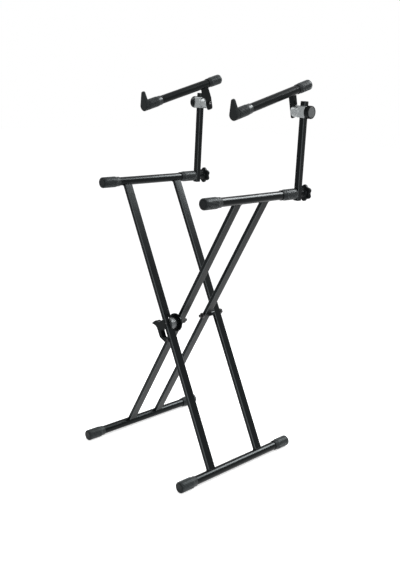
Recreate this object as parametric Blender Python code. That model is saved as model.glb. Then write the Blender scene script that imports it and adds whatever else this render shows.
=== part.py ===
# Two-tier x-style keyboard stand, in metres.
# +Z is up, +X runs across from the left arm to the right arm, -Y is the front, where the hooks are.
# The origin is on the floor, under the middle of the whole stand's box.

import bpy
import bmesh
import math
from mathutils import Matrix, Vector

for old in list(bpy.data.objects):
    bpy.data.objects.remove(old, do_unlink=True)

# Fit between neighbouring pieces
GAP = 0.0003

# Round tube of the lower arms, the feet and the upper arms
TUBE_RADIUS = 0.015
TUBE_WALL = 0.0015
TUBE_SIDES = 32

# Lower arms and feet
ARM_HALF_SPACING = 0.2465
ARM_HEIGHT = 0.9485
ARM_FRONT_LENGTH = 0.229
ARM_REAR_LENGTH = 0.213
FOOT_HALF_SPACING = 0.245
FOOT_HALF_LENGTH = 0.2715

# Rubber caps over the tube ends
CAP_WALL = 0.004
CAP_LIP_WALL = 0.0022
ARM_CAP_LENGTH = 0.074
FOOT_CAP_LENGTH = 0.071
CAP_LIP_LENGTH = 0.013
CAP_END_WALL = 0.006
CAP_ROUNDING = 0.0045
CAP_SIDES = 24

# Threaded insert in the rear end of each lower arm
INSERT_RADIUS = 0.009
INSERT_PROUD = 0.0072
INSERT_DEPTH = 0.022

# Legs of rectangular tube
LEG_WIDTH = 0.0145
LEG_DEPTH = 0.031
LEG_WALL = 0.0015
LEG_CORNER = 0.0022
OUTER_LEG_Y = 0.1183
INNER_LEG_Y = 0.0668

# Pivots
PIVOT_BOLT_RADIUS = 0.005
PIVOT_HEAD_RADIUS = 0.009
FRONT_HEAD_THICKNESS = 0.0028
REAR_HEAD_THICKNESS = 0.0090
PIVOT_NUT_RADIUS = 0.0102
PIVOT_NUT_THICKNESS = 0.009
PIVOT_BOLT_PROUD = 0.009
SPACER_RADIUS = 0.009

# Lock between the front legs
HUB_RADIUS = 0.0195
LEG_STRIP_DEPTH = 0.0160
LEG_NOTCH_CLEARANCE = 0.0040
LOCK_DISC_RADIUS = 0.0280
LOCK_DISC_THICKNESS = 0.0055
LOCK_PLATE_MARGIN = 0.0045
LOCK_NOTCH_CLEARANCE = 0.0004
LOCK_NOTCH_STEP = math.radians(20)
LOCK_NOTCH_COUNT = 18
LOCK_PIN_RADIUS = 0.0034
LOCK_PIN_GRIP = 0.012

# Trigger on the front outer leg, in the leg's own directions from the pivot
TRIGGER_HINGE_DOWN = 0.053
TRIGGER_PLATE = 0.0045
TRIGGER_DEPTH = 0.0188
TRIGGER_STANDOFF = 0.0036
LEVER_BAR = 0.0155
WINDOW_BELOW_PIN = 0.0125
WINDOW_ABOVE_HINGE = 0.0130
TRIGGER_PIN_RADIUS = 0.003
TRIGGER_PIN_HEAD = 0.0052
SPRING_WIRE_RADIUS = 0.00035
SPRING_RADIUS = 0.0055
SPRING_TURNS = 2

# Uprights of square tube
UPRIGHT_WIDTH = 0.020
UPRIGHT_WALL = 0.0015
UPRIGHT_CORNER = 0.0020
UPRIGHT_BELOW_ARM = 0.0215
UPRIGHT_TOP = 1.2565
PLUG_THICKNESS = 0.003
PLUG_DEPTH = 0.014

# Star knob that holds an upright on its arm
STAR_RADIUS = 0.029
STAR_LOBE_DEPTH = 0.0045
STAR_LOBES = 6
STAR_THICKNESS = 0.014
STAR_HUB_RADIUS = 0.011
STAR_HUB_LENGTH = 0.0205
STAR_SCREW_RADIUS = 0.004
STAR_SCREW_REACH = 0.030

# Clamp on the upright
CLAMP_HEIGHT = 1.2245
CLAMP_TALL = 0.040
CLAMP_OUTER_WALL = 0.0052
CLAMP_INNER_WALL = 0.0060
CLAMP_FRONT_WALL = 0.0060
CLAMP_BOSS_LENGTH = 0.0035
CLAMP_BOSS_TAPER = 0.0045
CLAMP_CORNER = 0.004
CLAMP_KNOB_RADIUS = 0.022
CLAMP_KNOB_LENGTH = 0.018
CLAMP_KNOB_ROUNDING = 0.0025
CLAMP_SCREW_RADIUS = 0.004

# Tilting joint, bracket and upper arm
TILT_WAIST_DEPTH = 0.0017
TILT_WAIST_LENGTH = 0.006
TILT_STEP_LENGTH = 0.003
TILT_DISC_LENGTH = 0.0282
TILT_END_TAPER = 0.005
TILT_BOLT_RADIUS = 0.004
TILT_HEAD_RADIUS = 0.007
TILT_HEAD_THICKNESS = 0.0045
UPPER_ARM_TILT = math.radians(15.5)
UPPER_ARM_OVER_DISC = 0.035
ARM_SIDE_OVER_EAR = 0.001
UPPER_TUBE_FRONT = -0.2828
UPPER_TUBE_REAR = 0.0751
UPPER_CAP_WALL = 0.003
UPPER_CAP_LIP_WALL = 0.0018
UPPER_CAP_LENGTH = 0.066
HOOK_THICKNESS = 0.0165
HOOK_TIP_THICKNESS = 0.0095
HOOK_HEIGHT = 0.050
HOOK_TIP_HALF_WIDTH = 0.0070
BRACKET_WIDTH = 0.020
BRACKET_SHEET = 0.003
BRACKET_DEPTH = 0.017
EAR_HALF_WIDTH = 0.0135
EAR_BELOW_DISC = 0.004
EAR_CORNER = 0.007

# Sizes worked out from those above
CAP_RADIUS = TUBE_RADIUS + CAP_WALL
CAP_LIP_RADIUS = TUBE_RADIUS + CAP_LIP_WALL
UPPER_CAP_RADIUS = TUBE_RADIUS + UPPER_CAP_WALL
UPPER_CAP_LIP_RADIUS = TUBE_RADIUS + UPPER_CAP_LIP_WALL
LEG_NOTCH_RADIUS = HUB_RADIUS + LEG_NOTCH_CLEARANCE
LOCK_PLATE_RADIUS = LOCK_DISC_RADIUS + LOCK_PLATE_MARGIN
CLAMP_OUTER = UPRIGHT_WIDTH / 2 + CLAMP_OUTER_WALL
CLAMP_INNER = UPRIGHT_WIDTH / 2 + CLAMP_INNER_WALL
CLAMP_FRONT = UPRIGHT_WIDTH / 2 + CLAMP_FRONT_WALL
TILT_DISC_RADIUS = CLAMP_TALL / 2
UPPER_ARM_ABOVE = TILT_DISC_RADIUS + UPPER_ARM_OVER_DISC + TUBE_RADIUS
TILT_DISC_END = CLAMP_INNER + GAP + TILT_DISC_LENGTH
UPPER_ARM_INWARD = TILT_DISC_END + GAP + BRACKET_SHEET - TUBE_RADIUS + ARM_SIDE_OVER_EAR
FOOT_HEIGHT = CAP_RADIUS
PIVOT_HEIGHT = FOOT_HEIGHT + (ARM_HEIGHT - FOOT_HEIGHT) * FOOT_HALF_SPACING / (ARM_HALF_SPACING + FOOT_HALF_SPACING)
UPRIGHT_Y = ARM_REAR_LENGTH + INSERT_PROUD + GAP + UPRIGHT_WIDTH / 2
UPPER_CAP_END = UPPER_TUBE_REAR + GAP + CAP_END_WALL
REAR_REACH = (UPRIGHT_Y + UPPER_CAP_END * math.cos(UPPER_ARM_TILT)
              - (UPPER_ARM_ABOVE - UPPER_CAP_RADIUS + CAP_ROUNDING) * math.sin(UPPER_ARM_TILT))
STAND_Y = (FOOT_HALF_LENGTH - REAR_REACH) / 2


# Meshes

def circle(radius, sides, flat_side_down=True):
    """Points of a polygon whose flats touch the circle, so a flat can rest or carry."""
    corner = radius / math.cos(math.pi / sides)
    start = math.pi / sides if flat_side_down else 0.0
    return [(corner * math.sin(start + 2 * math.pi * i / sides),
             -corner * math.cos(start + 2 * math.pi * i / sides)) for i in range(sides)]


def rounded_rectangle(width, height, corner, steps=2):
    """Outline of a rectangle about the middle, with an arc at each corner."""
    points = []
    for quarter, (sx, sy) in enumerate(((1, 1), (-1, 1), (-1, -1), (1, -1))):
        cx = sx * (width / 2 - corner)
        cy = sy * (height / 2 - corner)
        for step in range(steps + 1):
            angle = math.pi / 2 * (quarter + step / steps)
            points.append((cx + corner * math.cos(angle), cy + corner * math.sin(angle)))
    return points


def rounded_outline(corners, steps=5):
    """Outline through (x, y, radius) corners, each rounded with an arc of its own radius."""
    points = []
    count = len(corners)
    for index, (x, y, radius) in enumerate(corners):
        here = Vector((x, y))
        before = (Vector(corners[index - 1][:2]) - here).normalized()
        after = (Vector(corners[(index + 1) % count][:2]) - here).normalized()
        half = math.acos(max(-1.0, min(1.0, before.dot(after)))) / 2
        if radius <= 0.0:
            points.append((x, y))
            continue
        centre = here + (before + after).normalized() * (radius / math.sin(half))
        first = here + before * (radius / math.tan(half)) - centre
        sweep = math.pi - 2 * half
        if before.x * after.y - before.y * after.x > 0:
            sweep = -sweep
        for step in range(steps + 1):
            turn = Matrix.Rotation(sweep * step / steps, 2)
            point = centre + turn @ first
            points.append((point.x, point.y))
    return points


def loft(rings, closed=False):
    """Body through rings of equal length. A closed one joins its last ring to its first, as a pipe wall does."""
    mesh = bmesh.new()
    loops = [[mesh.verts.new(point) for point in ring] for ring in rings]
    count = len(loops[0])
    pairs = list(zip(loops, loops[1:]))
    if closed:
        pairs.append((loops[-1], loops[0]))
    else:
        mesh.faces.new(loops[0])
        mesh.faces.new(loops[-1])
    for low, high in pairs:
        for i in range(count):
            j = (i + 1) % count
            mesh.faces.new((low[i], low[j], high[j], high[i]))
    bmesh.ops.recalc_face_normals(mesh, faces=mesh.faces)
    return mesh


def extruded(outline, low, high, axis="Y"):
    """Prism of an outline between two places along an axis."""
    return loft([[on_axis(axis, place, a, b) for a, b in outline] for place in (low, high)])


def on_axis(axis, along, a, b):
    """Point with its height along the axis and its two other coordinates in X, Y, Z order."""
    if axis == "X":
        return Vector((along, a, b))
    if axis == "Y":
        return Vector((a, along, b))
    return Vector((a, b, along))


def turned(profile, sides, axis="Y", closed=False):
    """Body of revolution through (place along the axis, radius) points."""
    return loft([[on_axis(axis, along, a, b) for a, b in circle(radius, sides)] for along, radius in profile], closed)


def pipe(outer, inner, low, high, axis="Y"):
    """Pipe wall between an outer and an inner outline of equal length."""
    return loft([[on_axis(axis, place, a, b) for a, b in outline]
                 for outline, place in ((outer, low), (outer, high), (inner, high), (inner, low))], closed=True)


def round_pipe(radius, wall, sides, low, high, axis="Y"):
    return pipe(circle(radius, sides), circle(radius - wall, sides), low, high, axis)


# Objects

MATERIALS = {}


def finish(name, colour, roughness, metallic):
    material = bpy.data.materials.new(name)
    material.use_nodes = True
    shader = material.node_tree.nodes["Principled BSDF"]
    shader.inputs["Base Color"].default_value = (*colour, 1.0)
    shader.inputs["Roughness"].default_value = roughness
    shader.inputs["Metallic"].default_value = metallic
    MATERIALS[name] = material


finish("black_steel", (0.018, 0.019, 0.020), 0.35, 0.0)
finish("rubber", (0.030, 0.032, 0.033), 0.75, 0.0)
finish("black_plastic", (0.028, 0.030, 0.032), 0.50, 0.0)
finish("silver_alloy", (0.52, 0.54, 0.55), 0.38, 0.8)
finish("zinc_steel", (0.42, 0.43, 0.44), 0.40, 0.9)


def place(name, mesh, material, parent=None, location=(0, 0, 0), rotation=(0, 0, 0), smooth=True):
    """Object from a mesh, in the parent's frame."""
    data = bpy.data.meshes.new(name)
    mesh.to_mesh(data)
    mesh.free()
    data.materials.append(MATERIALS[material])
    if smooth:
        data.shade_smooth()
        data.set_sharp_from_angle(angle=math.radians(32))
    thing = bpy.data.objects.new(name, data)
    bpy.context.collection.objects.link(thing)
    thing.parent = parent
    thing.location = location
    thing.rotation_euler = rotation
    return thing


def axis_point(name, parent=None, location=(0, 0, 0), rotation=(0, 0, 0)):
    """Empty that stands on a joint's axis."""
    empty = bpy.data.objects.new(name, None)
    empty.empty_display_size = 0.03
    bpy.context.collection.objects.link(empty)
    empty.parent = parent
    empty.location = location
    empty.rotation_euler = rotation
    return empty


def cutter(name, mesh, parent=None, location=(0, 0, 0), rotation=(0, 0, 0)):
    tool = place(name, mesh, "zinc_steel", parent, location, rotation, smooth=False)
    tool.hide_render = True
    tool.display_type = "WIRE"
    return tool


def cut(thing, tool, operation="DIFFERENCE"):
    modifier = thing.modifiers.new(tool.name, "BOOLEAN")
    modifier.operation = operation
    modifier.solver = "EXACT"
    modifier.object = tool


# Frames. Everything hangs from one point under the middle of the feet.

stand = axis_point("stand", location=(0, STAND_Y, 0))
pivot = axis_point("pivot_axis", stand, (0, 0, PIVOT_HEIGHT))


# Round tubes of the lower tier and their caps

def end_cap(name, parent, location, outward, cap_radius=CAP_RADIUS, lip_radius=CAP_LIP_RADIUS,
            length=ARM_CAP_LENGTH, bored=0.0):
    """Rubber cup over a tube end. Its closed end faces outward, +1 or -1 along Y from the tube's end."""
    end = GAP + CAP_END_WALL
    mouth = end - length
    bore = TUBE_RADIUS + GAP
    profile = [
        (mouth, bore),
        (mouth, lip_radius),
        (mouth + CAP_LIP_LENGTH, lip_radius),
        (mouth + CAP_LIP_LENGTH + 0.001, cap_radius),
        (end - CAP_ROUNDING, cap_radius),
        (end - CAP_ROUNDING * 0.3, cap_radius - CAP_ROUNDING * 0.3),
        (end, cap_radius - CAP_ROUNDING),
    ]
    if bored:
        profile += [(end, bored), (GAP, bored), (GAP, bore)]
        rings = turned([(outward * a, r) for a, r in profile], CAP_SIDES, closed=True)
    else:
        rings = cup([(outward * a, r) for a, r in profile + [(GAP, bore)]])
    return place(name, rings, "rubber", parent, location)


def cup(profile):
    """Cup turned about Y: the profile runs from the mouth, over the outside to the closed end, then inside."""
    outer = profile[:-1]
    floor = profile[-1]
    mesh = bmesh.new()
    loops = []
    for along, radius in outer + [floor]:
        loops.append([mesh.verts.new((a, along, b)) for a, b in circle(radius, CAP_SIDES)])
    for low, high in zip(loops[:-1], loops[1:-1]):
        for i in range(CAP_SIDES):
            j = (i + 1) % CAP_SIDES
            mesh.faces.new((low[i], low[j], high[j], high[i]))
    mesh.faces.new(loops[-2])
    for i in range(CAP_SIDES):
        j = (i + 1) % CAP_SIDES
        mesh.faces.new((loops[0][i], loops[0][j], loops[-1][j], loops[-1][i]))
    mesh.faces.new(loops[-1])
    bmesh.ops.recalc_face_normals(mesh, faces=mesh.faces)
    return mesh


def round_tube(name, parent, location, low, high):
    mesh = round_pipe(TUBE_RADIUS, TUBE_WALL, TUBE_SIDES, low, high)
    return place(name, mesh, "black_steel", parent, location)


ARM_TUBE_FRONT = -ARM_FRONT_LENGTH + CAP_END_WALL + GAP
ARM_TUBE_REAR = ARM_REAR_LENGTH - CAP_END_WALL - GAP
FOOT_TUBE_END = FOOT_HALF_LENGTH - CAP_END_WALL - GAP

for side, name in ((-1, "left"), (1, "right")):
    # The left foot belongs to the frame of the right arm, and the other way round.
    round_tube(name + "_arm_tube", stand, (side * ARM_HALF_SPACING, 0, ARM_HEIGHT),
               ARM_TUBE_FRONT, ARM_TUBE_REAR)
    round_tube(name + "_foot_tube", stand, (side * FOOT_HALF_SPACING, 0, FOOT_HEIGHT),
               -FOOT_TUBE_END, FOOT_TUBE_END)
    end_cap(name + "_arm_front_cap", stand, (side * ARM_HALF_SPACING, ARM_TUBE_FRONT, ARM_HEIGHT), -1)
    end_cap(name + "_arm_rear_cap", stand, (side * ARM_HALF_SPACING, ARM_TUBE_REAR, ARM_HEIGHT), 1,
            bored=INSERT_RADIUS + GAP)
    end_cap(name + "_foot_front_cap", stand, (side * FOOT_HALF_SPACING, -FOOT_TUBE_END, FOOT_HEIGHT), -1,
            length=FOOT_CAP_LENGTH)
    end_cap(name + "_foot_rear_cap", stand, (side * FOOT_HALF_SPACING, FOOT_TUBE_END, FOOT_HEIGHT), 1,
            length=FOOT_CAP_LENGTH)
    # The insert fills the tube's bore and comes out through the cap to meet the upright.
    thread = STAR_SCREW_RADIUS / math.cos(math.pi / CAP_SIDES) + GAP
    profile = [(-INSERT_DEPTH, thread), (-INSERT_DEPTH, TUBE_RADIUS - TUBE_WALL - GAP),
               (0, TUBE_RADIUS - TUBE_WALL - GAP), (0, INSERT_RADIUS),
               (CAP_END_WALL + GAP + INSERT_PROUD, INSERT_RADIUS), (CAP_END_WALL + GAP + INSERT_PROUD, thread)]
    place(name + "_arm_insert", turned(profile, CAP_SIDES, closed=True), "zinc_steel", stand,
          (side * ARM_HALF_SPACING, ARM_TUBE_REAR, ARM_HEIGHT))


# Legs. Each runs from its arm to the opposite foot, with its ends cut to the round tubes.

def leg_lean(side):
    """Turn about Y that lays a leg's length from the arm on this side to the other side's foot."""
    return math.atan2(side * (ARM_HALF_SPACING + FOOT_HALF_SPACING), ARM_HEIGHT - FOOT_HEIGHT)


LEG_ABOVE_PIVOT = math.hypot(ARM_HALF_SPACING, ARM_HEIGHT - PIVOT_HEIGHT)
LEG_BELOW_PIVOT = math.hypot(FOOT_HALF_SPACING, PIVOT_HEIGHT - FOOT_HEIGHT)

tube_cutters = {}
for side, name in ((-1, "left"), (1, "right")):
    cope = circle(TUBE_RADIUS + GAP, TUBE_SIDES)
    tube_cutters[name, "arm"] = cutter(name + "_arm_cope", extruded(cope, -0.2, 0.2), stand,
                                       (side * ARM_HALF_SPACING, 0, ARM_HEIGHT))
    tube_cutters[name, "foot"] = cutter(name + "_foot_cope", extruded(cope, -0.2, 0.2), stand,
                                        (side * FOOT_HALF_SPACING, 0, FOOT_HEIGHT))

bolt_hole = cutter("pivot_bolt_hole", extruded(circle(PIVOT_BOLT_RADIUS + GAP, 16), -0.2, 0.2), pivot)

legs = {}
for name, side, y in (("front_outer_leg", -1, -OUTER_LEG_Y), ("rear_outer_leg", -1, OUTER_LEG_Y),
                      ("front_inner_leg", 1, -INNER_LEG_Y), ("rear_inner_leg", 1, INNER_LEG_Y)):
    outer = rounded_rectangle(LEG_WIDTH, LEG_DEPTH, LEG_CORNER)
    inner = rounded_rectangle(LEG_WIDTH - 2 * LEG_WALL, LEG_DEPTH - 2 * LEG_WALL, LEG_CORNER - LEG_WALL)
    mesh = pipe(outer, inner, -LEG_BELOW_PIVOT, LEG_ABOVE_PIVOT, axis="Z")
    leg = place(name, mesh, "black_steel", pivot, (0, y, 0), (0, leg_lean(side), 0))
    own, other = ("left", "right") if side < 0 else ("right", "left")
    cut(leg, tube_cutters[own, "arm"])
    cut(leg, tube_cutters[other, "foot"])
    cut(leg, bolt_hole)
    legs[name] = leg

# The front outer leg is cut away behind at the pivot, which leaves a strip in front of the hub.
LEG_FRONT = -OUTER_LEG_Y - LEG_DEPTH / 2
STRIP_BACK = LEG_FRONT + LEG_STRIP_DEPTH
notch = cutter("leg_notch", extruded(circle(LEG_NOTCH_RADIUS, 32), STRIP_BACK, -INNER_LEG_Y), pivot)
cut(legs["front_outer_leg"], notch)


# Bolts and nuts of the two pivots

def hexagon(radius):
    return circle(radius * math.cos(math.pi / 6), 6)


def bolt(name, material, parent, location, head, shank, axis="Y", head_shape=None):
    """Bolt along an axis. Head and shank are (start, end, radius), meeting where one ends."""
    sides = 16
    low, middle, radius = head
    end = shank[1]
    step = 1 if end > middle else -1
    shape = head_shape or circle(radius, sides)
    mesh = loft([[on_axis(axis, spot, a, b) for a, b in shape] for spot in (low, middle)])
    body = place(name, mesh, material, parent, location)
    rod = circle(shank[2], sides)
    rod_tool = cutter(name + "_rod", extruded(rod, middle - step * 0.001, end, axis), parent, location)
    cut(body, rod_tool, "UNION")
    return body


def nut(name, material, parent, location, low, high, radius, bore, axis="Y"):
    """Hexagon nut: twelve points round the outside so that its bore can be round."""
    outer = []
    corners = hexagon(radius)
    for i, corner in enumerate(corners):
        after = corners[(i + 1) % 6]
        outer.append(corner)
        outer.append(((corner[0] + after[0]) / 2, (corner[1] + after[1]) / 2))
    start = math.atan2(outer[0][1], outer[0][0])
    inner = [(bore * math.cos(start + 2 * math.pi * i / 12), bore * math.sin(start + 2 * math.pi * i / 12))
             for i in range(12)]
    return place(name, pipe(outer, inner, low, high, axis), material, parent, location, smooth=False)


INNER_LEG_REAR_FACE = -INNER_LEG_Y + LEG_DEPTH / 2
FRONT_NUT_LOW = INNER_LEG_REAR_FACE + GAP
FRONT_NUT_HIGH = FRONT_NUT_LOW + PIVOT_NUT_THICKNESS
bolt("front_pivot_bolt", "black_steel", pivot, (0, 0, 0),
     (LEG_FRONT - GAP - FRONT_HEAD_THICKNESS, LEG_FRONT - GAP, PIVOT_HEAD_RADIUS),
     (LEG_FRONT - GAP, FRONT_NUT_HIGH + PIVOT_BOLT_PROUD, PIVOT_BOLT_RADIUS))
nut("front_pivot_nut", "black_steel", pivot, (0, 0, 0), FRONT_NUT_LOW, FRONT_NUT_HIGH, PIVOT_NUT_RADIUS,
    PIVOT_BOLT_RADIUS / math.cos(math.pi / 16) + 2 * GAP)

OUTER_REAR_FACE = OUTER_LEG_Y + LEG_DEPTH / 2
REAR_NUT_HIGH = INNER_LEG_Y - LEG_DEPTH / 2 - GAP
REAR_NUT_LOW = REAR_NUT_HIGH - PIVOT_NUT_THICKNESS
bolt("rear_pivot_bolt", "black_steel", pivot, (0, 0, 0),
     (OUTER_REAR_FACE + GAP + REAR_HEAD_THICKNESS, OUTER_REAR_FACE + GAP, PIVOT_HEAD_RADIUS),
     (OUTER_REAR_FACE + GAP, REAR_NUT_LOW - PIVOT_BOLT_PROUD, PIVOT_BOLT_RADIUS), head_shape=hexagon(PIVOT_NUT_RADIUS))
nut("rear_pivot_nut", "black_steel", pivot, (0, 0, 0), REAR_NUT_LOW, REAR_NUT_HIGH, PIVOT_NUT_RADIUS,
    PIVOT_BOLT_RADIUS / math.cos(math.pi / 16) + 2 * GAP)

SPACER_LOW = INNER_LEG_Y + LEG_DEPTH / 2 + GAP
SPACER_HIGH = OUTER_LEG_Y - LEG_DEPTH / 2 - GAP
place("rear_spacer", round_pipe(SPACER_RADIUS, SPACER_RADIUS - PIVOT_BOLT_RADIUS - 2 * GAP, 20,
                                SPACER_LOW, SPACER_HIGH), "black_steel", pivot)


# Lock between the front legs: hub on the outer leg, toothed disc and plate on the inner leg

PLATE_BACK = -INNER_LEG_Y - LEG_DEPTH / 2 - GAP
DISC_FRONT = PLATE_BACK - LOCK_DISC_THICKNESS * 2 - GAP
DISC_BACK = DISC_FRONT + LOCK_DISC_THICKNESS
HUB_FRONT = STRIP_BACK + GAP
HUB_BACK = DISC_FRONT - GAP
BORE_WALL = PIVOT_BOLT_RADIUS + 2 * GAP

place("pivot_hub", round_pipe(HUB_RADIUS, HUB_RADIUS - BORE_WALL, 32, HUB_FRONT, HUB_BACK), "zinc_steel", pivot)
lock_disc = place("lock_disc", round_pipe(LOCK_DISC_RADIUS, LOCK_DISC_RADIUS - BORE_WALL, 40, DISC_FRONT, DISC_BACK),
                  "black_steel", pivot)
place("lock_plate", round_pipe(LOCK_PLATE_RADIUS, LOCK_PLATE_RADIUS - BORE_WALL, 40, DISC_BACK + GAP, PLATE_BACK),
      "black_steel", pivot)

# The lock pin stands at the mouth of a notch, square to the leg on its left side.
OUTER_LEAN = leg_lean(-1)
LEG_DOWN = Vector((-math.sin(OUTER_LEAN), 0, -math.cos(OUTER_LEAN)))
LEG_LEFT = Vector((-math.cos(OUTER_LEAN), 0, math.sin(OUTER_LEAN)))
PIN_REACH = LOCK_DISC_RADIUS + LOCK_PIN_RADIUS + 2 * GAP
pin_angle = math.atan2(LEG_LEFT.z, LEG_LEFT.x)
for step in range(LOCK_NOTCH_COUNT):
    angle = pin_angle + step * LOCK_NOTCH_STEP
    spot = (LOCK_DISC_RADIUS * math.cos(angle), 0, LOCK_DISC_RADIUS * math.sin(angle))
    tool = cutter("lock_notch_%d" % step,
                  extruded(circle(LOCK_PIN_RADIUS + LOCK_NOTCH_CLEARANCE, 10), DISC_FRONT - 0.001, DISC_BACK + 0.001),
                  pivot, spot)
    cut(lock_disc, tool)


# Trigger: a looped lever on the front outer leg. Its own X runs to the leg's right and its own Z up the leg.

TRIGGER_FRONT = LEG_FRONT - TRIGGER_STANDOFF - TRIGGER_PLATE
TRIGGER_BACK = TRIGGER_FRONT + TRIGGER_DEPTH
trigger_axis = axis_point("trigger_axis", pivot, LEG_DOWN * TRIGGER_HINGE_DOWN, (0, OUTER_LEAN, 0))
UP = TRIGGER_HINGE_DOWN
LEVER_LEFT = -(PIN_REACH + LOCK_PIN_RADIUS + 0.002)
LEVER_INNER = LEVER_LEFT + LEVER_BAR
PLATE_RIGHT = LEG_WIDTH / 2 + 0.0012
TRIGGER_OUTLINE = [
    (LEVER_LEFT - 0.0205, UP + 0.0215, 0.0),
    (LEVER_LEFT + 0.0040, UP + 0.0265, 0.012),
    (LEVER_LEFT + 0.0185, UP + 0.0150, 0.016),
    (PLATE_RIGHT, UP + 0.0205, 0.0015),
    (PLATE_RIGHT, UP - WINDOW_BELOW_PIN, 0.0030),
    (LEVER_INNER, UP - WINDOW_BELOW_PIN, 0.0050),
    (LEVER_INNER - 0.0015, WINDOW_ABOVE_HINGE, 0.0050),
    (PLATE_RIGHT + 0.001, WINDOW_ABOVE_HINGE - 0.0015, 0.0040),
    (PLATE_RIGHT + 0.001, -0.0070, 0.0060),
    (LEVER_LEFT + 0.0215, -0.0060, 0.0140),
    (LEVER_LEFT, 0.0190, 0.0140),
    (LEVER_LEFT, UP + 0.0060, 0.0220),
]
trigger = place("trigger_lever", extruded(rounded_outline(TRIGGER_OUTLINE, 4), TRIGGER_FRONT, TRIGGER_BACK),
                "black_plastic", trigger_axis)
pocket_left = -LEG_WIDTH / 2 - 0.003
pocket = [(pocket_left, -0.03), (0.03, -0.03), (0.03, 0.10), (pocket_left, 0.10)]
cut(trigger, cutter("trigger_pocket", extruded(pocket, TRIGGER_FRONT + TRIGGER_PLATE, TRIGGER_BACK + 0.01), trigger_axis))
cut(trigger, cutter("trigger_pin_hole", extruded(circle(TRIGGER_PIN_RADIUS + GAP, 12), -0.2, 0.2), trigger_axis))

# Hinge pin of the trigger, through both walls of the leg
LEG_BACK = LEG_FRONT + LEG_DEPTH
bolt("trigger_pin", "black_steel", trigger_axis, (0, 0, 0),
     (TRIGGER_FRONT - GAP - 0.0018, TRIGGER_FRONT - GAP, TRIGGER_PIN_HEAD),
     (TRIGGER_FRONT - GAP, LEG_BACK + 0.004, TRIGGER_PIN_RADIUS))
cut(legs["front_outer_leg"], cutter("leg_trigger_hole", extruded(circle(TRIGGER_PIN_RADIUS + GAP, 12), -0.2, 0.0),
                                    trigger_axis))

# Lock pin, set into the back of the lever
pin_spot = (-PIN_REACH, 0, UP)
PIN_BACK = DISC_BACK - GAP
cut(trigger, cutter("lock_pin_socket", extruded(circle(LOCK_PIN_RADIUS + GAP, 12), TRIGGER_BACK - LOCK_PIN_GRIP,
                                                TRIGGER_BACK + 0.01), trigger_axis, pin_spot))
place("lock_pin", extruded(circle(LOCK_PIN_RADIUS, 12), TRIGGER_BACK - LOCK_PIN_GRIP + GAP, PIN_BACK), "black_steel",
      trigger_axis, pin_spot)

# Return spring, wound round the hinge pin between the lever's plate and the leg
SPRING_LOW = TRIGGER_FRONT + TRIGGER_PLATE + GAP + SPRING_WIRE_RADIUS
SPRING_HIGH = LEG_FRONT - GAP - SPRING_WIRE_RADIUS
wire_sides = 6
points_per_turn = 14
rings = []
centres = []
for i in range(SPRING_TURNS * points_per_turn + 1):
    angle = 2 * math.pi * i / points_per_turn
    height = SPRING_LOW + (SPRING_HIGH - SPRING_LOW) * i / (SPRING_TURNS * points_per_turn)
    centre = Vector((SPRING_RADIUS * math.cos(angle), height, SPRING_RADIUS * math.sin(angle)))
    outward = Vector((math.cos(angle), 0, math.sin(angle)))
    centres.append(centre)
    rings.append([centre + SPRING_WIRE_RADIUS * (outward * math.cos(2 * math.pi * k / wire_sides)
                                                 + Vector((0, 1, 0)) * math.sin(2 * math.pi * k / wire_sides))
                  for k in range(wire_sides)])
place("trigger_spring", loft(rings), "zinc_steel", trigger_axis)
least_gap = min((one - other).length for i, one in enumerate(centres)
                for other in centres[i + points_per_turn // 2:]) - 2 * SPRING_WIRE_RADIUS
print("least gap of the trigger spring to itself: %.2f mm" % (least_gap * 1000))


# Second tier. Each side's pieces hang from the joint that moves them.

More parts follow.
